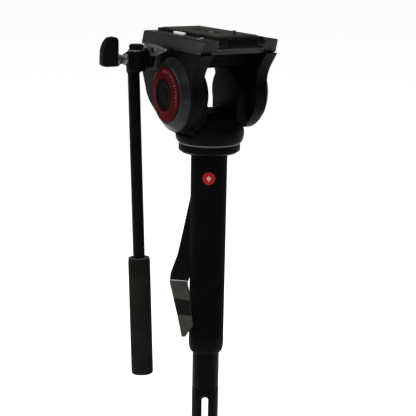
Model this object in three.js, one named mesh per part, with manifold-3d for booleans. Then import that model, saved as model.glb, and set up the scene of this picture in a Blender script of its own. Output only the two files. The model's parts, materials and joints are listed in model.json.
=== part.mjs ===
// A compact tripod with a fluid video head. Millimetres, +Z up.
// Heights inside the model are measured from the tilt axis, and the camera looks along -Y.
// The finished group is shifted so that the origin is on the floor under the middle of its box.

import * as THREE from 'three';
import { mergeVertices } from 'three/addons/utils/BufferGeometryUtils.js';
import Module from 'manifold-3d';

const wasm = await Module();
wasm.setup();

// ---- Driving dimensions -------------------------------------------------------------------

const GAP = 0.3;
const SIDES = 24;

const RECEIVER = {
  top: 58.6, bottom: 44.5, front: -61.2, back: 69.8,
  halfTop: 40.8, halfBottom: 43.3, lip: 2.2, endSetback: 8.4,
  channelHalf: 25.4, channelFloor: 50.5,
};
const PLATE = { halfWidth: 25, bottom: 51, top: 61.3, front: -60, back: 69, padTop: 62.4 };
const WEAR_STRIP = { low: [-28.6, 7, 55.9], high: [-25.4, 28, 61.4] };
const CHEEK = { inner: 30.3, outer: 44, bossOuter: 51.8, bossFoot: 37, bossTop: 28.5 };
const RING = { outer: 27.5, inner: 16, back: 52.1, front: 55 };
const UPRIGHT = { inner: 17, outer: 29.9, radius: 26 };
const AXLE = { radius: 8, innerEnd: 19, boreEnd: 18.6 };
const SCREW_SLOT = { half: 4, front: -22, back: 30, countersink: 5.5 };
const TWIST_PIN = { y: -44, radius: 1.9, hole: 2.2 };
const RELEASE_BUTTON = { radius: 3.1, y: 40, z: 52.6 };
const CARTRIDGE = { inner: 30.9, outer: 42.4, radius: 24 };
const PAN_BODY = { widest: 35.8, widestZ: -40, neck: 33.6, bottom: -50.5, saddle: -18.5 };
const FLANGE = { radius: 32, top: -52.5, bottom: -62 };
const SPINDLE = { radius: 7, headRadius: 12 };
const LEVEL = { y: 20, radius: 8.2, bottom: -29.2, top: -18.2 };
const PAN_LOCK_Z = -41;

const ROSETTE = { y: 38, z: 33, radius: 12, inner: 44.3, outer: 50.3 };
const BAR = { x: -66, radius: 6.2, topY: 44.2, topZ: 24, bottomY: 21.4, bottomZ: -302, gripLength: 127 };
const BAR_GRIP_RADIUS = 11.6;

const GRIP = { top: -63.8, bottom: -262.2, radiusTop: 19, radiusBottom: 18.6, bore: 16.1 };
const COLUMN = { outerRadius: 15.8, bore: 14.6 };
const COLLAR = { top: -262.6, bottom: -280.5, radiusTop: 18.6, radiusBottom: 15 };
const INNER_TUBE = { radius: 14.3, bore: 12.5, top: -92, bottom: -321.7 };
const BADGE = { radius: 6.6, z: -87 };
const COLUMN_TURN = -30.6;

const FORK = { radius: 14.4, top: -322, slotTop: -329.2, slotHalf: 3.4, pinZ: -375, pinRadius: 3 };
const TONGUE_HALF = 3.05;
const LEG_ANGLES = [-90, 30, 150];
const LEG_NAMES = ['front', 'right', 'left'];
const HUB = { radius: 27, top: -390.5, bottom: -424, pivotRadius: 27, pivotZ: -408 };
const LEG = {
  spread: THREE.MathUtils.degToRad(30), upperRadius: 9, upperBore: 7.6, upperBottom: -172,
  lowerRadius: 7, lowerBore: 5.8, lowerTop: -34, lowerBottom: -292, length: 306, footRadius: 12,
};

// ---- Materials ----------------------------------------------------------------------------

const finish = (color, roughness, metalness) =>
  new THREE.MeshStandardMaterial({ color, roughness, metalness });
const blackMetal = finish(0x16171a, 0.45, 0.6);
const blackPlastic = finish(0x121214, 0.6, 0);
const greyMetal = finish(0x8d8f90, 0.4, 0.8);
const darkSteel = finish(0x4a4c50, 0.35, 0.9);
const redAccent = finish(0x85171c, 0.4, 0.1);
const rubber = finish(0x1b1a18, 0.9, 0);
const webbing = finish(0x1c1c1d, 0.95, 0);
const glassTint = finish(0xb8c24a, 0.15, 0);

// ---- Solid helpers ------------------------------------------------------------------------

function solid(geometry) {
  const bare = geometry.clone();
  bare.deleteAttribute('normal');
  bare.deleteAttribute('uv');
  const merged = mergeVertices(bare, 1e-4);
  return new wasm.Manifold(new wasm.Mesh({
    numProp: 3,
    vertProperties: new Float32Array(merged.attributes.position.array),
    triVerts: new Uint32Array(merged.index.array),
  }));
}

function geometryOf(manifold) {
  const mesh = manifold.getMesh();
  const geometry = new THREE.BufferGeometry();
  geometry.setAttribute('position', new THREE.BufferAttribute(new Float32Array(mesh.vertProperties), 3));
  geometry.setIndex(new THREE.BufferAttribute(new Uint32Array(mesh.triVerts), 1));
  geometry.computeVertexNormals();
  return geometry;
}

function join(...parts) {
  return parts.slice(1).reduce((whole, part) => whole.add(part), parts[0]);
}

function cut(body, ...tools) {
  return tools.reduce((whole, tool) => whole.subtract(tool), body);
}

// A box from its lowest to its highest corner.
function block(low, high) {
  const size = high.map((value, axis) => value - low[axis]);
  const geometry = new THREE.BoxGeometry(...size);
  geometry.translate(...low.map((value, axis) => value + size[axis] / 2));
  return solid(geometry);
}

// A turned solid about Z from [radius, z] points that run upwards.
function turned(points, sides = SIDES) {
  const profile = points.map(([radius, z]) => new THREE.Vector2(radius, z));
  const geometry = new THREE.LatheGeometry(profile, sides);
  geometry.rotateX(Math.PI / 2);
  return solid(geometry);
}

function rodZ(radius, low, high, sides = SIDES) {
  return turned([[0, low], [radius, low], [radius, high], [0, high]], sides);
}

function tubeZ(outer, inner, low, high, sides = SIDES) {
  return turned([[inner, low], [outer, low], [outer, high], [inner, high], [inner, low]], sides);
}

// The same shapes about a line along X through (y, z).
function alongX(shape, y = 0, z = 0) {
  return shape.rotate([0, 90, 0]).translate([0, y, z]);
}

function rodX(radius, low, high, y = 0, z = 0, sides = SIDES) {
  return alongX(rodZ(radius, low, high, sides), y, z);
}

// An outline in the YZ plane, extruded from x = low to x = high.
function sidePlate(shape, low, high) {
  const settings = { depth: high - low, bevelEnabled: false, curveSegments: 16 };
  const geometry = new THREE.ExtrudeGeometry(shape, settings);
  geometry.applyMatrix4(new THREE.Matrix4().set(0, 0, 1, low, 1, 0, 0, 0, 0, 1, 0, 0, 0, 0, 0, 1));
  return solid(geometry);
}

function outline(points) {
  return new THREE.Shape(points.map(([a, b]) => new THREE.Vector2(a, b)));
}

function piece(name, manifold, material) {
  const mesh = new THREE.Mesh(geometryOf(manifold), material);
  mesh.name = name;
  return mesh;
}

const mirrorX = (manifold) => manifold.mirror([1, 0, 0]);

// The badge, the strap and the fork face this way round the column.
const towardView = (manifold) => manifold.rotate([0, 0, COLUMN_TURN]);

// ---- Quick-release plate and receiver -----------------------------------------------------

function cameraPlate() {
  const { halfWidth, bottom, top, front, back } = PLATE;
  const body = sidePlate(outline([
    [front + 3, bottom], [back - 2, bottom], [back, bottom + 2], [back, top], [front + 1, top],
    [front - 0.5, top - 1.5], [front, bottom + 3],
  ]), -halfWidth, halfWidth);
  const { half, front: slotFront, back: slotBack, countersink } = SCREW_SLOT;
  const screwSlot = block([-half, slotFront, bottom - 1], [half, slotBack, top + 1]);
  const slotRecess = block(
    [-half - 4, slotFront - 4, bottom - 1], [half + 4, slotBack + 4, bottom + countersink]);
  const padPocket = block([-halfWidth + 2.5, front + 5, top - 1.2], [halfWidth - 2.5, back - 5, top + 1]);
  return cut(body, screwSlot, slotRecess, padPocket);
}

function platePad() {
  const { halfWidth, top, front, back, padTop } = PLATE;
  const body = block(
    [-halfWidth + 2.8, front + 5.3, top - 0.9], [halfWidth - 2.8, back - 5.3, padTop]);
  const { half, front: slotFront, back: slotBack } = SCREW_SLOT;
  const slot = block([-half - 0.6, slotFront - 0.6, top - 3], [half + 0.6, slotBack + 0.6, padTop + 1]);
  const pinHole = rodZ(TWIST_PIN.hole, top - 3, padTop + 1, 12).translate([0, TWIST_PIN.y, 0]);
  return cut(body, slot, pinHole);
}

function cameraScrew() {
  const { bottom, padTop } = PLATE;
  const head = rodZ(6.5, bottom + 0.6, bottom + 4.9, 24);
  const shank = rodZ(3.1, bottom + 4.8, padTop - 0.4, 20);
  const coinSlot = block([-7, -0.8, bottom], [7, 0.8, bottom + 1.8]);
  return cut(join(head, shank), coinSlot).translate([0, 2, 0]);
}

function antiTwistPin() {
  return rodZ(TWIST_PIN.radius, PLATE.top - 0.8, PLATE.padTop + 4.4, 12).translate([0, TWIST_PIN.y, 0]);
}

function receiver() {
  const r = RECEIVER;
  const section = new THREE.Shape([
    [-r.halfBottom + 0.6, r.bottom], [r.halfBottom - 0.6, r.bottom], [r.halfBottom, r.bottom + 0.6],
    [r.halfBottom, r.bottom + r.lip], [r.halfTop, r.top - 0.5], [r.halfTop - 0.5, r.top],
    [r.channelHalf + 1, r.top], [r.channelHalf, r.top - 1], [r.channelHalf, r.channelFloor],
    [-r.channelHalf, r.channelFloor], [-r.channelHalf, r.top - 1], [-r.channelHalf - 1, r.top],
    [-r.halfTop + 0.5, r.top], [-r.halfTop, r.top - 0.5], [-r.halfBottom, r.bottom + r.lip],
    [-r.halfBottom, r.bottom + 0.6],
  ].map(([x, z]) => new THREE.Vector2(x, z)));
  const geometry = new THREE.ExtrudeGeometry(section, { depth: r.back - r.front, bevelEnabled: false });
  geometry.rotateX(Math.PI / 2);
  geometry.translate(0, r.back, 0);
  const lean = r.endSetback / (r.top - r.bottom);
  const frontLean = sidePlate(outline([
    [r.front - 40, r.bottom - 1], [r.front + r.endSetback + lean, r.bottom - 1],
    [r.front - lean, r.top + 1], [r.front - 40, r.top + 1],
  ]), -60, 60);
  const leverPocket = block([r.halfTop - 12, -28, r.bottom - 1], [r.halfBottom + 5, 30, r.bottom + 4.6]);
  const stripPocket = block(
    [WEAR_STRIP.low[0] - GAP, WEAR_STRIP.low[1] - GAP, WEAR_STRIP.low[2] - GAP],
    [-r.channelHalf + 1, WEAR_STRIP.high[1] + GAP, r.top + 1]);
  const { radius, y, z } = RELEASE_BUTTON;
  const buttonHole = rodX(radius + GAP, r.channelHalf - 2, r.halfBottom + 2, y, z, 16);
  const tray = cut(solid(geometry), frontLean, leverPocket, stripPocket, buttonHole);
  return join(tray, bridge());
}

// A bright steel strip that the plate slides against.
function wearStrip() {
  return block(WEAR_STRIP.low, WEAR_STRIP.high);
}

function releaseButton() {
  const { radius, y, z } = RELEASE_BUTTON;
  return rodX(radius, RECEIVER.channelHalf + 4, 46.5, y, z, 16);
}

function plateLockLever() {
  const { bottom } = RECEIVER;
  const hub = rodZ(5, bottom + 0.3, bottom + 4.3, 20).translate([36, 22, 0]);
  const arm = block([33.5, -26, bottom + 0.3], [38.5, 20, bottom + 4.3]);
  const paddle = block([37.5, -26, bottom + 0.3], [47.5, -2, bottom + 4.3]);
  return join(hub, arm, paddle);
}

// The web that ties the cheeks together under the receiver.
function bridge() {
  return sidePlate(outline([
    [-18, RECEIVER.bottom + 1], [-18, 27.5], [10, 27.5], [24, 20.5], [24, RECEIVER.bottom + 1],
  ]), -CHEEK.inner + GAP, CHEEK.inner - GAP);
}

// ---- Tilt cheeks --------------------------------------------------------------------------

// The front and the underside are alike on both cheeks.
function cheekFront() {
  const shape = new THREE.Shape();
  shape.moveTo(-57, 44.2);
  shape.lineTo(-45.5, 30);
  shape.quadraticCurveTo(-38, 20, -39.5, 10);
  shape.quadraticCurveTo(-43.5, -14, -30, -24);
  shape.quadraticCurveTo(-19, -36.5, -4, -38.5);
  return shape;
}

// The left cheek reaches back to carry the pan bar and the tilt lock.
function leftCheekOutline() {
  const shape = cheekFront();
  shape.quadraticCurveTo(6, -38.8, 28, -29);
  shape.lineTo(50, -14.5);
  shape.quadraticCurveTo(58, -8, 60.5, 0);
  shape.lineTo(67, 14);
  shape.quadraticCurveTo(70, 30, 66, 44.2);
  return shape;
}

function rightCheekOutline() {
  const shape = cheekFront();
  shape.quadraticCurveTo(22, -38.5, 33, -22);
  shape.quadraticCurveTo(41, -8, 41, 6);
  shape.quadraticCurveTo(42, 20, 53, 30);
  shape.lineTo(62, 44.2);
  return shape;
}

function cheek(side, shape) {
  const { inner, outer, bossOuter, bossFoot, bossTop } = CHEEK;
  const plate = side < 0 ? sidePlate(shape, -outer, -inner) : sidePlate(shape, inner, outer);
  const boss = alongX(turned([
    [0, -bossOuter], [bossTop, -bossOuter], [bossFoot, -outer], [bossFoot, -outer + 2], [0, -outer + 2],
  ], 36));
  const recess = rodX(CARTRIDGE.radius + GAP + 0.4, -CARTRIDGE.outer - 0.6, -inner + 1);
  const bore = rodX(AXLE.radius + GAP, -bossOuter - 1, -inner + 1);
  const counterbore = rodX(RING.inner - 0.4, -bossOuter - 1, -47);
  const facing = (part) => (side < 0 ? part : mirrorX(part));
  return cut(join(plate, facing(boss)), facing(recess), facing(bore), facing(counterbore));
}

function tiltRing() {
  const { outer, inner, back, front } = RING;
  return alongX(turned([
    [inner, -front], [inner + 0.8, -front], [outer, -back - 0.6],
    [outer, -back], [inner, -back], [inner, -front],
  ], 36));
}

function tiltCap() {
  const radius = RING.inner - 0.8;
  return alongX(turned([
    [0, -RING.front - 0.2], [radius - 1.2, -RING.front - 0.2], [radius, -RING.front + 1],
    [radius, -50.9], [0, -50.9],
  ], 28));
}

function tiltAxle() {
  return join(rodX(AXLE.radius, -49, -AXLE.innerEnd), rodX(12, -50.5, -47.3));
}

function dragCartridge() {
  const { inner, outer, radius } = CARTRIDGE;
  return alongX(tubeZ(radius, AXLE.radius + GAP, -outer, -inner));
}

function leftRosette() {
  const { y, z, radius, inner, outer } = ROSETTE;
  const disc = rodX(radius, -outer, -inner, y, z, 24);
  return cut(disc, rodX(3.5, -outer - 1, -inner + 1, y, z, 16));
}

function rightRosetteCap() {
  const { y, z, inner, outer } = ROSETTE;
  const radius = 9.5;
  return alongX(turned([
    [0, inner], [radius, inner], [radius, outer - 1.5], [radius - 1.5, outer], [0, outer],
  ], 24), y, z);
}

function tiltLockLever() {
  const low = -55;
  const high = -50.6;
  const paddle = new THREE.Shape();
  paddle.moveTo(50, 45.4);
  paddle.quadraticCurveTo(26, 50.5, 6, 46.2);
  paddle.lineTo(-9, 47);
  paddle.lineTo(-9, 45);
  paddle.lineTo(2.5, 43);
  paddle.quadraticCurveTo(16, 38, 30, 35.6);
  paddle.quadraticCurveTo(40, 34, 51, 33.6);
  paddle.quadraticCurveTo(53, 40, 50, 45.4);
  const opening = new THREE.Path();
  opening.moveTo(29, 38.8);
  opening.quadraticCurveTo(20, 40.5, 12, 43.4);
  opening.quadraticCurveTo(22, 46, 29, 45);
  paddle.holes.push(opening);
  const hub = rodX(11, low, high, ROSETTE.y, ROSETTE.z);
  const knob = rodX(2.6, low - 0.6, high, -9.5, 46, 12);
  const bore = rodX(8.1, low - 1, high + 1, ROSETTE.y, ROSETTE.z, 24);
  return cut(join(sidePlate(paddle, low, high), hub, knob), bore);
}

// ---- Pan bar ------------------------------------------------------------------------------

function barAxis() {
  const top = new THREE.Vector3(BAR.x, BAR.topY, BAR.topZ);
  const bottom = new THREE.Vector3(BAR.x, BAR.bottomY, BAR.bottomZ);
  return { top, direction: bottom.sub(top).normalize() };
}

// A solid about Z, laid along the bar with z = 0 at the bar's top and -z downwards.
function onBar(manifold) {
  const { top, direction } = barAxis();
  const lean = THREE.MathUtils.radToDeg(Math.atan2(direction.y, -direction.z));
  return manifold.rotate([lean, 0, 0]).translate(top.toArray());
}

function barClamp() {
  const barrel = turned([[0, 20.6], [8.8, 20.6], [9.5, 22], [9.5, 40.6], [0, 40.6]])
    .translate([BAR.x, ROSETTE.y, 0]);
  const socket = onBar(turned([[0, -6], [7, -6], [7.6, -3.6], [7.6, 2], [0, 2]], 20));
  const boss = rodX(7.5, -64, -50.6, ROSETTE.y, ROSETTE.z, 24);
  const knobFace = rodX(7.5, -77, -66, ROSETTE.y, ROSETTE.z, 24);
  const bore = rodX(3.5, -80, -50, ROSETTE.y, ROSETTE.z, 16);
  const socketBore = onBar(rodZ(BAR.radius + GAP, -14, 0.4, 24));
  return cut(join(barrel, socket, boss, knobFace), bore, socketBore);
}

function clampCap() {
  return turned([
    [0, 40.9], [8.6, 40.9], [8.6, 42.4], [7.5, 42.8], [7.5, 47.2], [6.7, 48], [0, 48],
  ], 24)
    .translate([BAR.x, ROSETTE.y, 0]);
}

// The wing is moulded on the bolt that draws the clamp against the rosette.
function wingKnob() {
  const { y, z } = ROSETTE;
  const neck = alongX(turned([
    [0, -89.4], [6.4, -89.4], [5, -83], [6, -77.3], [0, -77.3],
  ], 24), y, z);
  const wing = new THREE.Shape();
  wing.moveTo(-87.8, 26.9);
  wing.lineTo(-87.8, 51.4);
  wing.quadraticCurveTo(-88, 55.8, -92, 56.2);
  wing.lineTo(-97.4, 55.8);
  wing.quadraticCurveTo(-103.5, 52.4, -105.4, 42);
  wing.lineTo(-106, 30);
  wing.quadraticCurveTo(-105.4, 26.3, -101, 26.3);
  wing.lineTo(-90.4, 26.3);
  wing.quadraticCurveTo(-88, 26.3, -87.8, 26.9);
  const thickness = 9;
  const settings = { depth: thickness, bevelEnabled: false, curveSegments: 8 };
  const geometry = new THREE.ExtrudeGeometry(wing, settings);
  geometry.rotateX(Math.PI / 2);
  geometry.translate(0, y + thickness / 2, 0);
  const bolt = rodX(3.2, -89, -45.5, y, z, 16);
  return join(neck, solid(geometry), bolt);
}

function panBar() {
  const length = Math.hypot(BAR.topY - BAR.bottomY, BAR.topZ - BAR.bottomZ);
  return onBar(rodZ(BAR.radius, -length + 4, 0, 24));
}

function panBarGrip() {
  const length = Math.hypot(BAR.topY - BAR.bottomY, BAR.topZ - BAR.bottomZ);
  const low = -length + 2.2;
  const high = low + BAR.gripLength - 2.2;
  const radius = BAR_GRIP_RADIUS;
  const bore = BAR.radius + GAP;
  return onBar(turned([
    [0, low - 2], [radius - 1.4, low - 2], [radius, low - 0.6], [radius, high - 5],
    [radius - 1.2, high - 3.6], [radius - 0.4, high - 2], [radius - 1, high],
    [bore, high], [bore, low + 1.5], [0, low + 1.5],
  ]));
}

// ---- Pan body and base flange -------------------------------------------------------------

function panBody() {
  const { widest, widestZ, neck, bottom, saddle } = PAN_BODY;
  const drum = turned([
    [0, bottom], [neck - 0.6, bottom], [neck, bottom + 0.6], [35, bottom + 3.4], [widest, widestZ - 3],
    [widest, widestZ + 2], [33.5, -32], [29, -25], [22, saddle], [0, saddle],
  ], 36);
  const slab = block([-UPRIGHT.outer, -60, -60], [UPRIGHT.outer, 60, 0]);
  const skirt = turned([[0, bottom], [neck - 0.6, bottom], [neck, bottom + 0.6], [35, bottom + 3.4],
    [35.4, -44.5], [35.4, -42.4], [0, -42.4]], 36);
  const upright = (sign) => {
    const low = sign < 0 ? -UPRIGHT.outer : UPRIGHT.inner;
    const high = sign < 0 ? -UPRIGHT.inner : UPRIGHT.outer;
    const disc = rodX(UPRIGHT.radius, low, high, 0, 0, 36);
    const leg = block([low, -24.5, -34], [high, 24.5, 0]);
    return join(disc, leg);
  };
  const axleBore = rodX(AXLE.radius + GAP, AXLE.boreEnd, 40);
  const spindleBore = rodZ(SPINDLE.radius + GAP, -60, -28);
  const levelPocket = rodZ(LEVEL.radius + GAP, LEVEL.bottom - GAP, -10, 24).translate([0, LEVEL.y, 0]);
  return cut(join(drum.intersect(slab), skirt, upright(-1), upright(1)),
    axleBore, mirrorX(axleBore), spindleBore, levelPocket);
}

function levelVial() {
  const { y, radius, bottom, top } = LEVEL;
  return turned([[0, bottom], [radius, bottom], [radius, top - 0.8], [radius - 0.8, top], [0, top]], 24)
    .translate([0, y, 0]);
}

function panLockKnob() {
  const shaft = rodZ(3, PAN_BODY.widest + 0.4, 47, 16);
  const head = turned([[0, 44], [9, 44], [10, 45], [10, 54], [9, 55], [0, 55]], 20);
  return join(shaft, head).rotate([-90, 0, 0]).translate([0, 0, PAN_LOCK_Z]);
}

function panWasher() {
  return tubeZ(FLANGE.radius + 0.2, 12, FLANGE.top + GAP, PAN_BODY.bottom - GAP, 36);
}

function baseFlange() {
  const { radius, top, bottom } = FLANGE;
  const disc = turned([
    [0, bottom], [radius - 3.6, bottom], [radius, bottom + 2.6], [radius, top], [0, top],
  ], 36);
  return cut(disc, rodZ(SPINDLE.radius + GAP, bottom - 1, top + 1));
}

function panSpindle() {
  return join(rodZ(SPINDLE.radius, -66, -28.6), rodZ(SPINDLE.headRadius, -70, FLANGE.bottom - GAP));
}

// ---- Column -------------------------------------------------------------------------------

function outerTube() {
  const { outerRadius, bore } = COLUMN;
  return tubeZ(outerRadius, bore, COLLAR.bottom + 0.7, FLANGE.bottom - GAP, 28);
}

function gripSleeve() {
  const { top, bottom, radiusTop, radiusBottom, bore } = GRIP;
  const sleeve = turned([
    [bore, bottom], [radiusBottom - 0.5, bottom], [radiusBottom, bottom + 0.8], [radiusTop, top - 1.4],
    [radiusTop - 1, top], [bore, top], [bore, bottom],
  ], 36);
  const pocket = rodZ(BADGE.radius + GAP, 0, 30, 24).rotate([90, 0, 0]).translate([0, 0, BADGE.z])
    .intersect(cut(rodZ(40, -120, -60, 24), rodZ(GRIP.radiusTop - 0.9, -130, -50, 36)));
  return cut(sleeve, towardView(pocket));
}

function badge() {
  const disc = rodZ(BADGE.radius, 0, GRIP.radiusTop + 0.5, 24).rotate([90, 0, 0]).translate([0, 0, BADGE.z]);
  return towardView(cut(disc, rodZ(GRIP.radiusTop - 0.55, -130, -50, 36)));
}

function twistCollar() {
  const { top, bottom, radiusTop, radiusBottom } = COLLAR;
  const outerCurve = [];
  for (let step = 0; step <= 4; step += 1) {
    const turn = (step / 4) * Math.PI / 2;
    outerCurve.push([
      radiusBottom + (radiusTop - radiusBottom) * Math.sin(turn),
      bottom + 9 * (1 - Math.cos(turn)),
    ]);
  }
  const profile = [[COLUMN.bore, bottom], ...outerCurve, [radiusTop, top], [COLUMN.outerRadius + GAP, top],
    [COLUMN.outerRadius + GAP, bottom + 0.4], [COLUMN.bore, bottom + 0.4], [COLUMN.bore, bottom]];
  return turned(profile, 28);
}

function innerTube() {
  const { radius, bore, top, bottom } = INNER_TUBE;
  return tubeZ(radius, bore, bottom, top, 28);
}

// The wrist strap hangs beside the grip. Each station holds the two edges of the tape as
// [across, away, up]: across runs to the right of someone facing the badge, away runs behind it.
const STRAP_STATIONS = [
  [[-18.5, 22.5, -112], [-1, 23, -112]],
  [[-24.8, 21, -143], [-7, 21.5, -143]],
  [[-32, 18, -178], [-15.5, 16, -178]],
  [[-39.2, 13, -198], [-18, 11, -198]],
  [[-40, 10, -207], [-20.8, 2, -206]],
  [[-37.4, 6.4, -216], [-18.6, -8.5, -213.5]],
  [[-31.4, -1, -238], [-16, -13.4, -236]],
  [[-27.4, -5, -256], [-14.3, -15.6, -247]],
  [[-25.8, -8, -263], [-22.6, -10.5, -262]],
];
const STRAP_THICKNESS = 2.4;

function strap() {
  const last = STRAP_STATIONS.length - 1;
  const geometry = new THREE.BoxGeometry(1, 1, 1, 1, 1, last);
  const place = geometry.attributes.position;
  for (let index = 0; index < place.count; index += 1) {
    const station = Math.round((place.getZ(index) + 0.5) * last);
    const [left, right] = STRAP_STATIONS[station].map((point) => new THREE.Vector3(...point));
    const [before, after] = [Math.max(station - 1, 0), Math.min(station + 1, last)]
      .map((near) => new THREE.Vector3(...STRAP_STATIONS[near][0]));
    const normal = after.sub(before).cross(right.clone().sub(left)).normalize();
    const point = left.lerp(right, place.getX(index) + 0.5);
    point.addScaledVector(normal, place.getY(index) * STRAP_THICKNESS);
    place.setXYZ(index, point.x, point.y, point.z);
  }
  return towardView(solid(geometry));
}

// ---- Fork joint ---------------------------------------------------------------------------

function fork() {
  const { radius, top, slotTop, slotHalf, pinZ, pinRadius } = FORK;
  const plug = rodZ(INNER_TUBE.bore - GAP, top - 2, top + 22);
  const barrel = rodZ(radius, pinZ - radius, top, 28);
  const roundEnd = join(rodX(13.6, -20, 20, 0, pinZ, 28), block([-20, -20, pinZ], [20, 20, top + 1]));
  const slot = block([-slotHalf, -20, pinZ - 20], [slotHalf, 20, slotTop]);
  const bore = rodX(pinRadius + GAP, -20, 20, 0, pinZ, 16);
  return towardView(join(plug, cut(barrel.intersect(roundEnd), slot, bore)));
}

function forkPin() {
  const { radius, pinZ, pinRadius } = FORK;
  const shank = rodX(pinRadius, -radius - 5, radius + 1.4, 0, pinZ, 16);
  const cap = rodX(5, radius + 0.8, radius + 3.4, 0, pinZ, 16);
  return towardView(join(shank, cap));
}

function forkLockLever() {
  const { radius, pinZ, pinRadius } = FORK;
  const low = -radius - 8;
  const high = -radius - 0.5;
  const cam = rodX(7, low, high, 0, pinZ, 24);
  const handle = block([low, 0, pinZ - 6], [low + 3.6, 32, pinZ + 3.5]);
  return towardView(cut(join(cam, handle), rodX(pinRadius + GAP, -radius - 5.3, high + 1, 0, pinZ, 16)));
}

// ---- Leg hub ------------------------------------------------------------------------------

function legHub() {
  const { radius, top, bottom, pivotRadius, pivotZ } = HUB;
  const core = turned([
    [0, bottom], [15, bottom], [18, bottom + 3], [18, -404], [radius - 5, -398],
    [radius - 7, top - 0.4], [0, top - 0.4],
  ], 28);
  const tongue = towardView(cut(
    join(rodX(12, -TONGUE_HALF, TONGUE_HALF, 0, FORK.pinZ),
      block([-TONGUE_HALF, -12, top - 2], [TONGUE_HALF, 12, FORK.pinZ])),
    rodX(FORK.pinRadius + GAP, -10, 10, 0, FORK.pinZ, 16)));
  const lugs = [];
  for (const angle of LEG_ANGLES) {
    for (const side of [-1, 1]) {
      const lug = join(
        rodZ(7.5, -2.2, 2.2, 16).rotate([90, 0, 0]).translate([pivotRadius, side * 9.4, pivotZ]),
        block([10, side * 9.4 - 2.2, pivotZ - 7.5], [pivotRadius, side * 9.4 + 2.2, pivotZ + 7.5]));
      lugs.push(lug.rotate([0, 0, angle]));
    }
  }
  const pinBores = LEG_ANGLES.map((angle) => rodZ(2.6, -14, 14, 12).rotate([90, 0, 0])
    .translate([pivotRadius, 0, pivotZ]).rotate([0, 0, angle]));
  return cut(join(core, tongue, ...lugs), ...pinBores);
}

// ---- Legs: drawn hanging straight down from the pivot at the origin, outward is +X ---------

function upperLeg() {
  const { upperRadius, upperBore, upperBottom } = LEG;
  const knuckle = join(
    rodZ(7, -6.7, 6.7, 20).rotate([90, 0, 0]),
    block([-6, -6.7, -16], [6, 6.7, 0]));
  const tube = turned([
    [upperBore, upperBottom], [upperRadius, upperBottom], [upperRadius, -15], [7.5, -12], [0, -12],
    [0, -24], [upperBore, -24], [upperBore, upperBottom],
  ], 20);
  return cut(join(knuckle, tube), rodZ(2.6, -10, 10, 12).rotate([90, 0, 0]));
}

function legPivot() {
  const shank = rodZ(2.3, -12.4, 12.4, 12);
  return join(shank, rodZ(4.2, 11.9, 14, 16), rodZ(4.2, -14, -11.9, 16)).rotate([90, 0, 0]);
}

function legCollar() {
  const { upperRadius, upperBottom, lowerRadius } = LEG;
  const inner = lowerRadius + GAP;
  const ring = turned([
    [inner, upperBottom - 9], [10.6, upperBottom - 9], [11.6, upperBottom - 6], [11.6, upperBottom + 14],
    [10.6, upperBottom + 15], [upperRadius + GAP, upperBottom + 15], [upperRadius + GAP, upperBottom - 0.3],
    [inner, upperBottom - 0.3], [inner, upperBottom - 9],
  ], 20);
  const ears = block([9.6, -6, upperBottom - 6], [16, 6, upperBottom + 10]);
  const leverSlot = block([11.9, -3.6, upperBottom - 10], [20, 3.6, upperBottom + 14]);
  const keepBore = rodZ(upperRadius + GAP, upperBottom - 0.3, upperBottom + 16, 20);
  const pinBore = rodZ(1.7, -10, 10, 8).rotate([90, 0, 0]).translate([14, 0, upperBottom + 6]);
  const lowerBore = rodZ(inner, upperBottom - 9, upperBottom, 20);
  return cut(join(ring, cut(ears, leverSlot, keepBore, lowerBore)), pinBore);
}

function legLever() {
  const { upperBottom } = LEG;
  const z = upperBottom + 6;
  const cam = rodZ(2, -3.2, 3.2, 16).rotate([90, 0, 0]).translate([14.3, 0, z]);
  const arm = block([12.3, -3.2, z - 26], [16.3, 3.2, z]);
  const pin = rodZ(1.4, -7, 7, 8).rotate([90, 0, 0]).translate([14, 0, z]);
  return join(cam, arm, pin);
}

function lowerLeg() {
  const { lowerRadius, lowerBore, lowerTop, lowerBottom } = LEG;
  return tubeZ(lowerRadius, lowerBore, lowerBottom, lowerTop, 20);
}

// The foot's sole is cut level with the floor when the leg stands at its spread.
function foot() {
  const { lowerBore, lowerRadius, lowerBottom, length, footRadius, spread } = LEG;
  const plug = rodZ(lowerBore - GAP, lowerBottom - 2, lowerBottom + 18, 20);
  const boot = turned([
    [0, -length - 12], [footRadius, -length - 12], [footRadius, -length + 2],
    [9, lowerBottom - GAP], [0, lowerBottom - GAP],
  ], 20);
  const below = block([-60, -60, -60], [60, 60, 0])
    .rotate([0, THREE.MathUtils.radToDeg(spread), 0]).translate([0, 0, -length]);
  return cut(join(boot, plug), below);
}

function leg(name, angle) {
  const group = new THREE.Group();
  group.add(
    piece(`${name}_upper_leg`, upperLeg(), blackMetal),
    piece(`${name}_leg_collar`, legCollar(), blackPlastic),
    piece(`${name}_leg_lever`, legLever(), blackPlastic),
    piece(`${name}_lower_leg`, lowerLeg(), greyMetal),
    piece(`${name}_foot`, foot(), rubber),
  );
  group.rotation.y = -LEG.spread;
  const carrier = new THREE.Group();
  carrier.add(group, piece(`${name}_leg_pivot`, legPivot(), darkSteel));
  carrier.position.set(HUB.pivotRadius, 0, HUB.pivotZ);
  const turn = new THREE.Group();
  turn.rotation.z = THREE.MathUtils.degToRad(angle);
  turn.add(carrier);
  return turn;
}

// ---- Assembly -----------------------------------------------------------------------------

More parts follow.
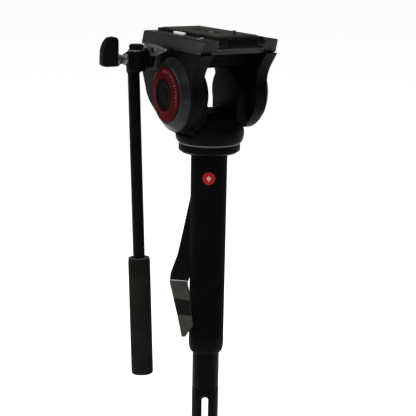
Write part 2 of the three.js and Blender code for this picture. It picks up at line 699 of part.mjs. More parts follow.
function head() {
  const group = new THREE.Group();
  group.add(
    piece('camera_plate', cameraPlate(), blackMetal),
    piece('plate_pad', platePad(), rubber),
    piece('camera_screw', cameraScrew(), darkSteel),
    piece('anti_twist_pin', antiTwistPin(), darkSteel),
    piece('receiver', receiver(), blackMetal),
    piece('wear_strip', wearStrip(), greyMetal),
    piece('plate_release_button', releaseButton(), darkSteel),
    piece('plate_lock_lever', plateLockLever(), blackPlastic),
    piece('left_cheek', cheek(-1, leftCheekOutline()), blackMetal),
    piece('right_cheek', cheek(1, rightCheekOutline()), blackMetal),
    piece('left_tilt_ring', tiltRing(), redAccent),
    piece('right_tilt_ring', mirrorX(tiltRing()), redAccent),
    piece('left_tilt_cap', tiltCap(), blackPlastic),
    piece('right_tilt_cap', mirrorX(tiltCap()), blackPlastic),
    piece('left_tilt_axle', tiltAxle(), darkSteel),
    piece('right_tilt_axle', mirrorX(tiltAxle()), darkSteel),
    piece('left_drag_cartridge', dragCartridge(), darkSteel),
    piece('right_drag_cartridge', mirrorX(dragCartridge()), darkSteel),
    piece('left_rosette', leftRosette(), greyMetal),
    piece('right_rosette_cap', rightRosetteCap(), blackPlastic),
    piece('tilt_lock_lever', tiltLockLever(), greyMetal),
    piece('pan_body', panBody(), blackMetal),
    piece('level_vial', levelVial(), glassTint),
    piece('pan_lock_knob', panLockKnob(), blackPlastic),
    piece('pan_washer', panWasher(), greyMetal),
    piece('base_flange', baseFlange(), blackMetal),
    piece('pan_spindle', panSpindle(), darkSteel),
  );
  return group;
}

function panHandle() {
  const group = new THREE.Group();
  group.add(
    piece('bar_clamp', barClamp(), blackMetal),
    piece('clamp_cap', clampCap(), blackPlastic),
    piece('wing_knob', wingKnob(), blackPlastic),
    piece('pan_bar', panBar(), blackMetal),
    piece('pan_bar_grip', panBarGrip(), rubber),
  );
  return group;
}

function column() {
  const group = new THREE.Group();
  group.add(
    piece('outer_tube', outerTube(), blackMetal),
    piece('grip_sleeve', gripSleeve(), rubber),
    piece('badge', badge(), redAccent),
    piece('wrist_strap', strap(), webbing),
    piece('twist_collar', twistCollar(), blackPlastic),
    piece('inner_tube', innerTube(), blackMetal),
    piece('fork', fork(), blackPlastic),
    piece('fork_pin', forkPin(), darkSteel),
    piece('fork_lock_lever', forkLockLever(), blackPlastic),
  );
  return group;
}

function base() {
  const group = new THREE.Group();
  group.add(piece('leg_hub', legHub(), blackMetal));
  LEG_NAMES.forEach((name, index) => group.add(leg(name, LEG_ANGLES[index])));
  return group;
}

const tripod = new THREE.Group();
tripod.add(head(), panHandle(), column(), base());

// Moves the origin to the floor under the middle of the tripod's box.
const extent = new THREE.Box3().setFromObject(tripod, true);
const middle = extent.getCenter(new THREE.Vector3());
tripod.position.set(-middle.x, -middle.y, -extent.min.z);

export default tripod;
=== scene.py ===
"""A compact tripod with a fluid video head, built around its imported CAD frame.

Sizes are in millimetres from the head's tilt axis: x to the right, y to the rear, z up.
"""
import json
import math

import bmesh
import bpy
from mathutils import Matrix, Vector


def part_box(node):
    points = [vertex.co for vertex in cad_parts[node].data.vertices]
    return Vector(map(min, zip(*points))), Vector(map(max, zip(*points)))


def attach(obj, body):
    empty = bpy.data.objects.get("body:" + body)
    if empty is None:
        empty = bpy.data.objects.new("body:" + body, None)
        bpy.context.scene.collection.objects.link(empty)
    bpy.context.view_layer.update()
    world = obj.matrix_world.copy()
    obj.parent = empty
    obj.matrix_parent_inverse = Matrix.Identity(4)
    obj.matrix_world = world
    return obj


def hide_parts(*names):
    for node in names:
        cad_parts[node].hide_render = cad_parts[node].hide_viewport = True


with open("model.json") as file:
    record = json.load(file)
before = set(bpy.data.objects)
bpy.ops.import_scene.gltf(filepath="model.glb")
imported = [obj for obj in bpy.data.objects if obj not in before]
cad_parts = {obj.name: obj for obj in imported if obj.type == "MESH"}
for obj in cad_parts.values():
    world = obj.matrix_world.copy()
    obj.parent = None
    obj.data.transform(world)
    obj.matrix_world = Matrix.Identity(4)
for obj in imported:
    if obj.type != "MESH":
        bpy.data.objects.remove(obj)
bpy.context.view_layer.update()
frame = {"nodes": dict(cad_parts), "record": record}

# ---- Places taken from the frame ------------------------------------------------------------

MM = 0.001
SHARP_ANGLE = math.radians(32)
axle_low, axle_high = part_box("left_tilt_axle")
TILT_AXIS = Vector((0, (axle_low.y + axle_high.y) / 2, (axle_low.z + axle_high.z) / 2))
TO_FRAME = Matrix.Translation(TILT_AXIS) @ Matrix.Scale(MM, 4)
VIEW_AZIMUTH = -30.6


# ---- Shape tools ----------------------------------------------------------------------------

def fillet(points, steps=5):
    """Rounds the corners of an open or closed outline given as (a, b) or (a, b, radius)."""
    rounded = []
    count = len(points)
    for i, point in enumerate(points):
        corner = Vector(point[:2])
        radius = point[2] if len(point) > 2 else 0
        if radius <= 0:
            rounded.append(tuple(corner))
            continue
        before = Vector(points[(i - 1) % count][:2]) - corner
        after = Vector(points[(i + 1) % count][:2]) - corner
        angle = before.angle(after) / 2
        reach = min(radius / math.tan(angle), before.length * 0.49, after.length * 0.49)
        start = corner + before.normalized() * reach
        end = corner + after.normalized() * reach
        for k in range(steps + 1):
            t = k / steps
            rounded.append(tuple(start * (1 - t) ** 2 + corner * 2 * t * (1 - t) + end * t ** 2))
    return rounded


def arc(radius, start, end, steps=12, centre=(0, 0)):
    """Points on an arc, angles in degrees."""
    turns = [math.radians(start + (end - start) * k / steps) for k in range(steps + 1)]
    return [(centre[0] + radius * math.cos(t), centre[1] + radius * math.sin(t)) for t in turns]


def piece(name, mesh_builder, body, material, stands_for=None, slot=None):
    """Makes an object from a bmesh in millimetres, parents it to its body empty and hides any CAD part it
    stands for.
    """
    mesh = bpy.data.meshes.new(name)
    bmesh.ops.remove_doubles(mesh_builder, verts=mesh_builder.verts, dist=1e-4)
    bmesh.ops.recalc_face_normals(mesh_builder, faces=mesh_builder.faces)
    mesh_builder.to_mesh(mesh)
    mesh_builder.free()
    mesh.transform(TO_FRAME)
    mesh.shade_smooth()
    mesh.set_sharp_from_angle(angle=SHARP_ANGLE)
    made = bpy.data.objects.new(name, mesh)
    bpy.context.scene.collection.objects.link(made)
    mesh.materials.append(material)
    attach(made, body)
    replaces = (stands_for,) if stands_for else ()
    if replaces:
        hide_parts(*replaces)
    slot = slot or SLOT_OF[material.name]
    return made


def lathe(profile, sides=96):
    """A turned closed body about Z from (radius, z) points."""
    built = bmesh.new()
    rings = []
    for radius, height in profile:
        if radius < 1e-6:
            rings.append([built.verts.new((0, 0, height))])
            continue
        rings.append([
            built.verts.new((radius * math.cos(t), radius * math.sin(t), height))
            for t in (2 * math.pi * k / sides for k in range(sides))
        ])
    for low, high in zip(rings, rings[1:]):
        for k in range(sides):
            corners = [
                low[k % len(low)], low[(k + 1) % len(low)], high[(k + 1) % len(high)], high[k % len(high)]]
            corners = list(dict.fromkeys(corners))
            if len(corners) > 2:
                built.faces.new(corners)
    return built


def turned(points, steps, sides):
    """A turned body whose profile has rounded corners."""
    return lathe(fillet(points, steps), sides)


def ring(points, steps, sides):
    """A turned body with a hole through it: its profile closes on its first point."""
    return lathe(fillet(points, steps) + [points[0][:2]], sides)


def rod(radius, low, high, sides):
    return lathe([(0, low), (radius, low), (radius, high), (0, high)], sides)


def prism(outline, low, high, bevel=0.0, segments=2):
    """An outline in XY extruded from z = low to z = high, with its rims bevelled."""
    built = bmesh.new()
    base = [built.verts.new((a, b, low)) for a, b in outline]
    face = built.faces.new(base)
    grown = bmesh.ops.extrude_face_region(built, geom=[face])
    top = [v for v in grown["geom"] if isinstance(v, bmesh.types.BMVert)]
    bmesh.ops.translate(built, verts=top, vec=(0, 0, high - low))
    bmesh.ops.recalc_face_normals(built, faces=built.faces)
    if bevel > 0:
        rims = [e for e in built.edges if abs(e.verts[0].co.z - e.verts[1].co.z) < 1e-6]
        bmesh.ops.bevel(
            built, geom=rims, offset=bevel, segments=segments, profile=0.5,
            affect="EDGES", clamp_overlap=True)
    return built


def box(low, high, bevel=0.3):
    outline = [(low[0], low[1]), (high[0], low[1]), (high[0], high[1]), (low[0], high[1])]
    radius = min(bevel, (high[0] - low[0]) / 2.2, (high[1] - low[1]) / 2.2)
    return prism(fillet([(a, b, radius) for a, b in outline], 3), low[2], high[2],
        min(bevel, (high[2] - low[2]) / 2.2))


def moved(built, matrix):
    bmesh.ops.transform(built, matrix=matrix, verts=built.verts)
    return built


def merged(*parts):
    """Several closed bodies in one mesh."""
    whole = bmesh.new()
    for part in parts:
        data = bpy.data.meshes.new("part")
        part.to_mesh(data)
        part.free()
        whole.from_mesh(data)
        bpy.data.meshes.remove(data)
    return whole


def boolean(body, tools, operation="DIFFERENCE"):
    """Cuts or joins bmeshes and gives back one bmesh."""
    def as_object(built):
        data = bpy.data.meshes.new("tool")
        bmesh.ops.recalc_face_normals(built, faces=built.faces)
        built.to_mesh(data)
        built.free()
        made = bpy.data.objects.new("tool", data)
        bpy.context.scene.collection.objects.link(made)
        return made

    target = as_object(body)
    helpers = [as_object(tool) for tool in tools]
    for helper in helpers:
        change = target.modifiers.new("cut", "BOOLEAN")
        change.operation = operation
        change.solver = "EXACT"
        change.object = helper
    bpy.context.view_layer.update()
    result = bmesh.new()
    result.from_object(target, bpy.context.evaluated_depsgraph_get())
    for made in [target, *helpers]:
        data = made.data
        bpy.data.objects.remove(made)
        bpy.data.meshes.remove(data)
    return result


def soften(built, width=0.3, segments=2, angle=35):
    """Bevels the edges that are sharper than an angle."""
    bmesh.ops.remove_doubles(built, verts=built.verts, dist=1e-3)
    bmesh.ops.dissolve_limit(
        built, angle_limit=math.radians(1), verts=built.verts, edges=built.edges)
    sharp = [
        e for e in built.edges
        if e.is_manifold and e.calc_face_angle(0) > math.radians(angle) and e.calc_length() > 0.05
    ]
    bmesh.ops.bevel(
        built, geom=sharp, offset=width, segments=segments, profile=0.5,
        affect="EDGES", clamp_overlap=True)
    return built


def at(x, y, z):
    return Matrix.Translation((x, y, z))


def turn_z(degrees):
    return Matrix.Rotation(math.radians(degrees), 4, "Z")


ALONG_X = Matrix.Rotation(math.radians(90), 4, "Y")
TO_LEFT = Matrix.Rotation(math.radians(-90), 4, "Y")
ALONG_Y = Matrix.Rotation(math.radians(-90), 4, "X")
# An outline drawn as (y, z) and extruded along x.
SIDEWAYS = Matrix(((0, 0, 1, 0), (1, 0, 0, 0), (0, 1, 0, 0), (0, 0, 0, 1)))
# An outline drawn as (x, z) and extruded along -y.
FRONTWAYS = Matrix(((1, 0, 0, 0), (0, 0, -1, 0), (0, 1, 0, 0), (0, 0, 0, 1)))
MIRROR_X = Matrix.Scale(-1, 4, (1, 0, 0))
VIEW_TURN = turn_z(VIEW_AZIMUTH)


# ---- Materials ------------------------------------------------------------------------------

def set_inputs(node, values):
    for socket, value in values.items():
        node.inputs[socket].default_value = value


class Look:
    """A Principled material and the nodes that give it its detail."""

    def __init__(self, name, roughness, metallic=0.0, specular=0.5):
        self.material = bpy.data.materials.new(name)
        self.material.use_nodes = True
        self.nodes = self.material.node_tree.nodes
        self.links = self.material.node_tree.links
        self.shader = self.nodes["Principled BSDF"]
        set_inputs(self.shader, {"Metallic": metallic, "Roughness": roughness,
            "Specular IOR Level": specular})
        self.place = self.nodes.new("ShaderNodeTexCoord").outputs["Object"]
        self.normal = None

    def noise(self, scale, detail=4, roughness=0.5, stretch=None):
        node = self.nodes.new("ShaderNodeTexNoise")
        set_inputs(node, {"Scale": scale, "Detail": detail, "Roughness": roughness})
        source = self.place
        if stretch:
            mapping = self.nodes.new("ShaderNodeMapping")
            mapping.inputs["Scale"].default_value = stretch
            self.links.new(self.place, mapping.inputs["Vector"])
            source = mapping.outputs["Vector"]
        self.links.new(source, node.inputs["Vector"])
        return node.outputs["Fac"]

    def ramp(self, value, stops):
        node = self.nodes.new("ShaderNodeValToRGB")
        node.color_ramp.elements[0].position = stops[0][0]
        node.color_ramp.elements[0].color = (*stops[0][1], 1)
        node.color_ramp.elements[1].position = stops[-1][0]
        node.color_ramp.elements[1].color = (*stops[-1][1], 1)
        for position, colour in stops[1:-1]:
            node.color_ramp.elements.new(position).color = (*colour, 1)
        self.links.new(value, node.inputs["Fac"])
        return node.outputs["Color"]

    def span(self, value, low, high, start=0.0, end=1.0):
        node = self.nodes.new("ShaderNodeMapRange")
        set_inputs(node, {"From Min": start, "From Max": end, "To Min": low, "To Max": high})
        self.links.new(value, node.inputs["Value"])
        return node.outputs["Result"]

    def math(self, operation, a, b):
        node = self.nodes.new("ShaderNodeMath")
        node.operation = operation
        for socket, value in zip(node.inputs, (a, b)):
            if isinstance(value, (int, float)):
                socket.default_value = value
            else:
                self.links.new(value, socket)
        return node.outputs["Value"]

    def mix(self, factor, a, b):
        node = self.nodes.new("ShaderNodeMix")
        node.data_type = "RGBA"
        self.links.new(factor, node.inputs[0])
        for socket, value in zip((node.inputs[6], node.inputs[7]), (a, b)):
            if isinstance(value, tuple):
                socket.default_value = (*value, 1)
            else:
                self.links.new(value, socket)
        return node.outputs[2]

    def colour(self, value):
        self.links.new(value, self.shader.inputs["Base Color"])

    def roughness(self, value):
        self.links.new(value, self.shader.inputs["Roughness"])

    def bump(self, height, distance, strength=1.0):
        node = self.nodes.new("ShaderNodeBump")
        set_inputs(node, {"Distance": distance, "Strength": strength})
        self.links.new(height, node.inputs["Height"])
        if self.normal:
            self.links.new(self.normal, node.inputs["Normal"])
        self.normal = node.outputs["Normal"]
        self.links.new(self.normal, self.shader.inputs["Normal"])

    def wear(self, base, worn, amount=0.5):
        """Lighter colour along the convex edges, broken up by noise."""
        shape = self.nodes.new("ShaderNodeNewGeometry").outputs["Pointiness"]
        edge = self.span(shape, 0, 1, 0.53, 0.62)
        spots = self.span(self.noise(420, 5, 0.6), 0, 1, 0.45, 0.7)
        return self.mix(self.math("MULTIPLY", self.math("MULTIPLY", edge, spots), amount), base, worn)


def coated_metal(name, dark, light, roughness=0.5, grain=2600, depth=0.00003, specular=0.4):
    look = Look(name, roughness, 0.0, specular)
    base = look.ramp(look.noise(55, 5), [(0.3, dark), (0.7, light)])
    look.colour(look.wear(base, tuple(min(1, c * 3.2 + 0.02) for c in light), 0.6))
    look.roughness(look.span(look.noise(180, 4), roughness - 0.07, roughness + 0.1))
    look.bump(look.noise(grain, 3, 0.6), depth, 0.7)
    return look.material


def moulded_plastic(name, dark, light, roughness=0.55, grain=3800):
    look = Look(name, roughness, 0.0, 0.035)
    base = look.ramp(look.noise(40, 4), [(0.3, dark), (0.7, light)])
    look.colour(look.wear(base, tuple(min(1, c * 2.5 + 0.012) for c in light), 0.45))
    look.roughness(look.span(look.noise(240, 3), roughness - 0.06, roughness + 0.12))
    look.bump(look.noise(grain, 2, 0.5), 0.00002, 0.8)
    return look.material


def machined_metal(name, dark, light, roughness=0.32, stretch=(1, 1, 60), metallic=0.9):
    look = Look(name, roughness, metallic)
    look.colour(look.ramp(look.noise(90, 6, 0.6, stretch), [(0.3, dark), (0.72, light)]))
    look.roughness(look.span(look.noise(260, 4, 0.6, stretch), roughness - 0.08, roughness + 0.14))
    look.bump(look.noise(900, 4, 0.6, stretch), 0.00001, 0.6)
    return look.material


def rubber(name, dark, light, roughness=0.78, grain=1900, depth=0.00006):
    look = Look(name, roughness, 0.0, 0.025)
    dust = look.span(look.noise(75, 6, 0.65), 0, 1, 0.42, 0.75)
    look.colour(look.mix(dust, dark, light))
    look.roughness(look.span(look.noise(300, 3), roughness - 0.08, roughness + 0.1))
    look.bump(look.noise(grain, 4, 0.7), depth, 0.8)
    return look.material


def foam(name, dark, light):
    look = Look(name, 0.9, 0.0, 0.04)
    cells = look.nodes.new("ShaderNodeTexVoronoi")
    cells.inputs["Scale"].default_value = 1500
    look.links.new(look.place, cells.inputs["Vector"])
    shade = look.math("MULTIPLY", look.noise(60, 5), look.span(cells.outputs["Distance"], 0.75, 1.1))
    look.colour(look.ramp(shade, [(0.28, dark), (0.68, light)]))
    look.bump(cells.outputs["Distance"], 0.00012, 0.7)
    look.bump(look.noise(420, 3), 0.00015, 0.5)
    return look.material


def webbing(name, dark, light, across, along):
    """Woven tape: rows of thread across and along two directions, given as axis vectors."""
    look = Look(name, 0.85, 0.0, 0.03)
    set_inputs(look.shader, {"Sheen Weight": 0.04, "Sheen Roughness": 0.5})

    def threads(direction, pitch):
        dot = look.nodes.new("ShaderNodeVectorMath")
        dot.operation = "DOT_PRODUCT"
        dot.inputs[1].default_value = direction
        look.links.new(look.place, dot.inputs[0])
        wave = look.math("SINE", look.math("MULTIPLY", dot.outputs["Value"], 2 * math.pi / pitch), 0)
        return look.span(wave, 0, 1, -1, 1)

    weft = threads(across, 0.0011)
    warp = threads(along, 0.0016)
    weave = look.math("MULTIPLY", look.math("ADD", weft, warp), 0.5)
    look.colour(look.ramp(look.math("MULTIPLY", weave, look.span(look.noise(130, 4), 0.7, 1.2)),
        [(0.1, dark), (0.9, light)]))
    look.bump(weave, 0.00018, 0.8)
    look.bump(look.noise(2600, 3), 0.00004, 0.5)
    return look.material


BLACK_COAT = coated_metal("black_coat", (0.0011, 0.0011, 0.0012), (0.0019, 0.0019, 0.0021), 0.5,
    specular=0.03)
SLATE_COAT = coated_metal("slate_coat", (0.0035, 0.0045, 0.005), (0.006, 0.0074, 0.008), 0.34, specular=0.14)
TOP_COAT = coated_metal("top_coat", (0.0046, 0.0046, 0.0044), (0.0078, 0.0078, 0.0074), 0.42, specular=0.12)
BAR_COAT = coated_metal("bar_coat", (0.0012, 0.0011, 0.0017), (0.002, 0.0019, 0.0028), 0.4, specular=0.035)
TUBE_COAT = coated_metal("tube_coat", (0.0008, 0.0008, 0.0008), (0.0013, 0.0013, 0.0012), 0.4, specular=0.02)
BLACK_PLASTIC = moulded_plastic("black_plastic", (0.001, 0.001, 0.0012), (0.0018, 0.0018, 0.002))
FORK_PLASTIC = moulded_plastic("fork_plastic", (0.0012, 0.0011, 0.0010), (0.0021, 0.0019, 0.0017), 0.5)
KNOB_PLASTIC = moulded_plastic("knob_plastic", (0.0022, 0.0022, 0.0024), (0.0036, 0.0036, 0.0039), 0.5)
LIGHT_METAL = machined_metal("light_metal", (0.07, 0.07, 0.066), (0.15, 0.15, 0.14), 0.4, (1, 40, 1), 0.7)
BRIGHT_METAL = machined_metal("bright_metal", (0.55, 0.55, 0.54), (0.8, 0.8, 0.78), 0.22)
TURNED_STEEL = machined_metal("turned_steel", (0.2, 0.2, 0.2), (0.36, 0.36, 0.35), 0.3)
DARK_STEEL = machined_metal("dark_steel", (0.03, 0.03, 0.032), (0.07, 0.07, 0.075), 0.35)
LEG_METAL = machined_metal("leg_metal", (0.16, 0.16, 0.165), (0.27, 0.27, 0.275), 0.34, (1, 1, 60), 0.85)
RED_RING = coated_metal("red_ring", (0.03, 0.0011, 0.0018), (0.055, 0.0018, 0.0028), 0.5, 1800, 0.00002, 0.02)
RED_BADGE = moulded_plastic("red_badge", (0.24, 0.010, 0.011), (0.33, 0.014, 0.015), 0.4)
# Pale colour for two uses: the printed scale on the tilt rings, and painted highlights on the clamp cap top.
PALE_PRINT_AND_HIGHLIGHT = moulded_plastic("pale_print_and_highlight", (0.16, 0.10, 0.10), (0.26, 0.17, 0.17), 0.5)
# Near-white guide strip: its light tone is partly its own and partly a painted reflection of its bright
# silver top.
PAINTED_REFLECTION_STRIP = moulded_plastic("painted_reflection_strip", (0.72, 0.70, 0.66), (0.85, 0.83, 0.79), 0.4)
NECK_METAL = machined_metal("neck_metal", (0.06, 0.06, 0.062), (0.16, 0.16, 0.165), 0.38)
PALE_BADGE = moulded_plastic("pale_badge", (0.42, 0.24, 0.20), (0.52, 0.32, 0.27), 0.5)
GRIP_RUBBER = rubber("grip_rubber", (0.0015, 0.0015, 0.0018), (0.0026, 0.0026, 0.003))
FOOT_RUBBER = rubber("foot_rubber", (0.007, 0.007, 0.007), (0.02, 0.019, 0.018))
PAD_RUBBER = rubber("pad_rubber", (0.035, 0.032, 0.028), (0.065, 0.06, 0.053), 0.85, 2600, 0.00008)
GREY_RING = rubber("grey_ring", (0.05, 0.048, 0.044), (0.09, 0.086, 0.078), 0.7)
GRIP_FOAM = foam("grip_foam", (0.0062, 0.0058, 0.0047), (0.0108, 0.0102, 0.0084))
VIEW_RIGHT = (math.cos(math.radians(VIEW_AZIMUTH)), math.sin(math.radians(VIEW_AZIMUTH)), 0)
BLACK_TAPE = webbing("black_tape", (0.0022, 0.0024, 0.0025), (0.0055, 0.006, 0.0062), VIEW_RIGHT, (0, 0, 1))
GREY_TAPE = webbing("grey_tape", (0.026, 0.0245, 0.0195), (0.068, 0.064, 0.053), VIEW_RIGHT, (0, 0, 1))
BAND_TAPE = webbing("band_tape", (0.0032, 0.0032, 0.003), (0.008, 0.008, 0.0075), VIEW_RIGHT, (0, 0, 1))


def tinted_fluid():
    look = Look("level_fluid", 0.08, 0.0)
    look.colour(look.ramp(look.noise(60, 3), [(0.3, (0.42, 0.5, 0.06)), (0.7, (0.55, 0.62, 0.1))]))
    set_inputs(look.shader, {"Coat Weight": 1.0, "Coat Roughness": 0.03})
    look.bump(look.noise(200, 2), 0.00001, 0.2)
    return look.material


LEVEL_FLUID = tinted_fluid()

# The first material of each slot also covers its CAD nodes.
SLOT_MATERIALS = {
    "black_metal": (BLACK_COAT, SLATE_COAT, TOP_COAT, BAR_COAT, TUBE_COAT),
    "black_plastic": (BLACK_PLASTIC, FORK_PLASTIC, KNOB_PLASTIC),
    "grey_metal": (LIGHT_METAL, LEG_METAL, PAINTED_REFLECTION_STRIP),
    "steel": (TURNED_STEEL, BRIGHT_METAL, DARK_STEEL, NECK_METAL),
    "red_accent": (RED_RING, RED_BADGE, PALE_PRINT_AND_HIGHLIGHT, PALE_BADGE),
    "rubber": (GRIP_RUBBER, FOOT_RUBBER, PAD_RUBBER),
    "foam": (GRIP_FOAM, GREY_RING),
    "webbing": (BLACK_TAPE, GREY_TAPE, BAND_TAPE),
    "vial": (LEVEL_FLUID,),
}
SLOT_OF = {look.name: slot for slot, looks in SLOT_MATERIALS.items() for look in looks}

# ---- Camera ---------------------------------------------------------------------------------

FOCAL_PIXELS = 1200
IMAGE_SIDE = 416
CAMERA_DISTANCE = 1261.8
CAMERA_PITCH = 13.4
CAMERA_ROLL = 1.0
CAMERA_AIM_RIGHT = -0.3
CAMERA_AIM_HEIGHT = -122.5


def make_camera():
    azimuth, pitch, roll = (math.radians(a) for a in (VIEW_AZIMUTH, CAMERA_PITCH, CAMERA_ROLL))
    forward = Vector((-math.sin(azimuth) * math.cos(pitch), math.cos(azimuth) * math.cos(pitch),
        -math.sin(pitch)))
    level = Vector((math.cos(azimuth), math.sin(azimuth), 0))
    up = level.cross(forward)
    right = math.cos(roll) * level + math.sin(roll) * up
    up = right.cross(forward)
    target = CAMERA_AIM_RIGHT * level + Vector((0, 0, CAMERA_AIM_HEIGHT))
    place = TILT_AXIS + (target - forward * CAMERA_DISTANCE) * MM
    camera = bpy.data.cameras.new("camera")
    camera.sensor_width = 36
    camera.lens = FOCAL_PIXELS / IMAGE_SIDE * camera.sensor_width
    made = bpy.data.objects.new("camera", camera)
    bpy.context.scene.collection.objects.link(made)
    turn = Matrix((right, up, -forward)).transposed()
    made.matrix_world = Matrix.Translation(place) @ turn.to_4x4()
    bpy.context.scene.camera = made


make_camera()


# ---- Studio ---------------------------------------------------------------------------------

WHITE = (1, 1, 1, 1)
FLOOR_HALF_SIDE = 14


def make_studio():
    scene = bpy.context.scene
    scene.view_settings.view_transform = "Standard"
    world = bpy.data.worlds.new("studio")
    scene.world = world
    world.use_nodes = True
    set_inputs(world.node_tree.nodes["Background"], {"Color": WHITE, "Strength": 0.2})
    floor = bpy.data.meshes.new("floor")
    corners = [(FLOOR_HALF_SIDE * x, FLOOR_HALF_SIDE * y, 0) for x, y in ((-1, -1), (1, -1), (1, 1), (-1, 1))]
    floor.from_pydata(corners, [], [(0, 1, 2, 3)])
    made = bpy.data.objects.new("floor", floor)
    scene.collection.objects.link(made)
    look = Look("floor", 0.8, 0.0, 0.2)
    look.colour(look.ramp(look.noise(3, 4), [(0.3, (0.90, 0.90, 0.90)), (0.7, (0.92, 0.92, 0.92))]))
    set_inputs(look.shader, {"Emission Color": WHITE, "Emission Strength": 0.79})
    floor.materials.append(look.material)

    def area(name, place, aim, size, power):
        light = bpy.data.lights.new(name, "AREA")
        light.size = size
        light.energy = power
        lamp = bpy.data.objects.new(name, light)
        scene.collection.objects.link(lamp)
        lamp.location = TILT_AXIS + Vector(place)
        lamp.rotation_euler = (Vector(aim) - Vector(place)).to_track_quat("-Z", "Y").to_euler()

    area("key", (-1.4, -0.9, 1.9), (0, 0, 0), 1.2, 30)
    area("top", (0.2, 0.5, 2.3), (0, 0, 0), 1.8, 34)
    area("rim", (1.9, 0.8, 0.7), (0, 0, -0.1), 1.0, 10)
    area("side", (-1.7, 1.3, 0.5), (0, 0, -0.1), 0.7, 11)


make_studio()

# ---- Quick-release plate and receiver -------------------------------------------------------

RECEIVER_TOP, RECEIVER_BOTTOM = 58.6, 44.5
RECEIVER_FRONT, RECEIVER_BACK = -61.2, 69.8
END_LEAN = 8.4 / (RECEIVER_TOP - RECEIVER_BOTTOM)
CHANNEL_HALF = 25.4
AT_BUTTON = at(0, 40, 52.6)
TWIST_PIN_Y = -44
PLATE_TOP = 61.3
PLATE_FRONT, PLATE_BACK = -60, 69


def traced(start, *steps, count=14):
    """An outline of straight steps (a, b) and curved steps (control a, control b, end a, end b)."""
    points = [start]
    for step in steps:
        if len(step) == 2:
            points.append(step)
            continue
        first, control, last = Vector(points[-1]), Vector(step[:2]), Vector(step[2:])
        for k in range(1, count + 1):
            t = k / count
            points.append(tuple(first * (1 - t) ** 2 + control * 2 * t * (1 - t) + last * t * t))
    return points


def make_receiver():
    half = [
        (CHANNEL_HALF, 50.5, 0.6), (CHANNEL_HALF, 54.2), (26.6, 55.4), (26.6, 56.4), (CHANNEL_HALF, 57.6),
        (26.2, RECEIVER_TOP), (30.2, RECEIVER_TOP), (30.5, 58.1), (31.1, 58.1), (31.4, RECEIVER_TOP),
        (40.0, RECEIVER_TOP, 0.8), (41.1, 57.2, 0.5), (42.9, 48.2, 0.4), (43.3, 47.6), (43.3, 45.2, 0.5),
        (42.6, RECEIVER_BOTTOM),
    ]
    right_side = fillet(half, 3)
    left_side = [(-x, z) for x, z in reversed(right_side)]
    section = right_side + left_side
    tray = prism(section, -RECEIVER_BACK, -RECEIVER_FRONT)
    moved(tray, FRONTWAYS)
    for vert in tray.verts:
        if vert.co.y < 0:
            vert.co.y += (RECEIVER_TOP - vert.co.z) * END_LEAN
    pockets = [
        box((28.8, -28, 43), (50, 30, 49.1), 0),
        box((-28.9, 6.7, 55.6), (-25, 28.3, 60), 0),
        moved(moved(rod(3.4, 23.4, 46, 40), ALONG_X), AT_BUTTON),
    ]
    tray = soften(boolean(tray, pockets), 0.3, 2, 40)
    web_outline = fillet([(-18, 45, 0), (-18, 27.5, 2), (10, 27.5, 3), (24, 20.5, 2.5), (24, 45, 0)], 4)
    web = moved(prism(web_outline, -29.9, 29.9, 0.5), SIDEWAYS)
    piece("receiver_tray", tray, "tilt", TOP_COAT, "receiver")
    piece("receiver_web", web, "tilt", BLACK_COAT)
    for side in (-1, 1):
        pin = moved(turned([(0, 0), (1.4, 0), (1.4, 2.1, 0.5), (0, 2.4)], 3, 24), ALONG_Y)
        moved(pin, turn_z(180))
        moved(pin, at(side * CHANNEL_HALF, -54.9, 49.6))
        piece(f"stop_pin_{side + 1}", pin, "tilt", DARK_STEEL, slot="grey_metal")
    bright = moved(screw_head(1.9, 0.6), at(-28.2, -31, RECEIVER_TOP))
    piece("guide_screw", bright, "tilt", BRIGHT_METAL)
    for k, (x, y) in enumerate(((-34.4, -36), (34.4, -36), (34.4, 52), (-34.4, 56))):
        screw = screw_head(2.6, 0.5)
        moved(screw, at(x, y, RECEIVER_TOP))
        piece(f"tray_screw_{k + 1}", screw, "tilt", TURNED_STEEL)


def screw_head(radius, height):
    """A flat screw head with a hexagon socket, its seat at z = 0."""
    head = turned([(0, -0.6), (radius, -0.6), (radius, height, 0.25), (0, height)], 3, 32)
    socket = prism(arc(radius * 0.5, 0, 300, 5), -0.3, height + 1)
    return boolean(head, [socket])


def make_guide_strip():
    # The strip's near-white colour paints in its bright reflection.
    strip = box((-28.6, 7, 56), (-25.4, 28, 60.7), 0.5)
    piece("guide_strip", strip, "tilt", PAINTED_REFLECTION_STRIP, "wear_strip")


def make_plate():
    side = fillet([
        (PLATE_FRONT + 4, 51), (PLATE_BACK - 3, 51, 1), (PLATE_BACK, 53.5, 1.5), (PLATE_BACK, PLATE_TOP, 0.8),
        (PLATE_FRONT + 1, PLATE_TOP, 1.6), (PLATE_FRONT, PLATE_TOP - 3.5, 1.5), (PLATE_FRONT, 54.5, 1.5),
    ], 4)
    body = moved(prism(side, -25, 25, 0.5), SIDEWAYS)
    tools = [
        box((-4, -22, 50), (4, 30, 63), 0), box((-8, -26, 50), (8, 34, 56.5), 0),
        box((-22.4, PLATE_FRONT + 6, PLATE_TOP - 1.2), (22.4, PLATE_BACK - 5, 63), 0),
    ]
    for sign in (-1, 1):
        groove = [(25.6 * sign, 54.4), (23.9 * sign, 55.6), (23.9 * sign, 56.4), (25.6 * sign, 57.6)]
        tools.append(moved(prism(groove, -80, 80), FRONTWAYS))
    body = soften(boolean(body, tools), 0.25, 2, 40)
    piece("plate_body", body, "plate", BLACK_COAT, "camera_plate")
    nose = fillet([(-17, 52.2, 1.5), (17, 52.2, 1.5), (17, 58.4, 2), (-17, 58.4, 2)], 4)
    piece("plate_nose", moved(prism(nose, 59.4, 60.6, 0.4), FRONTWAYS), "plate", BLACK_PLASTIC)


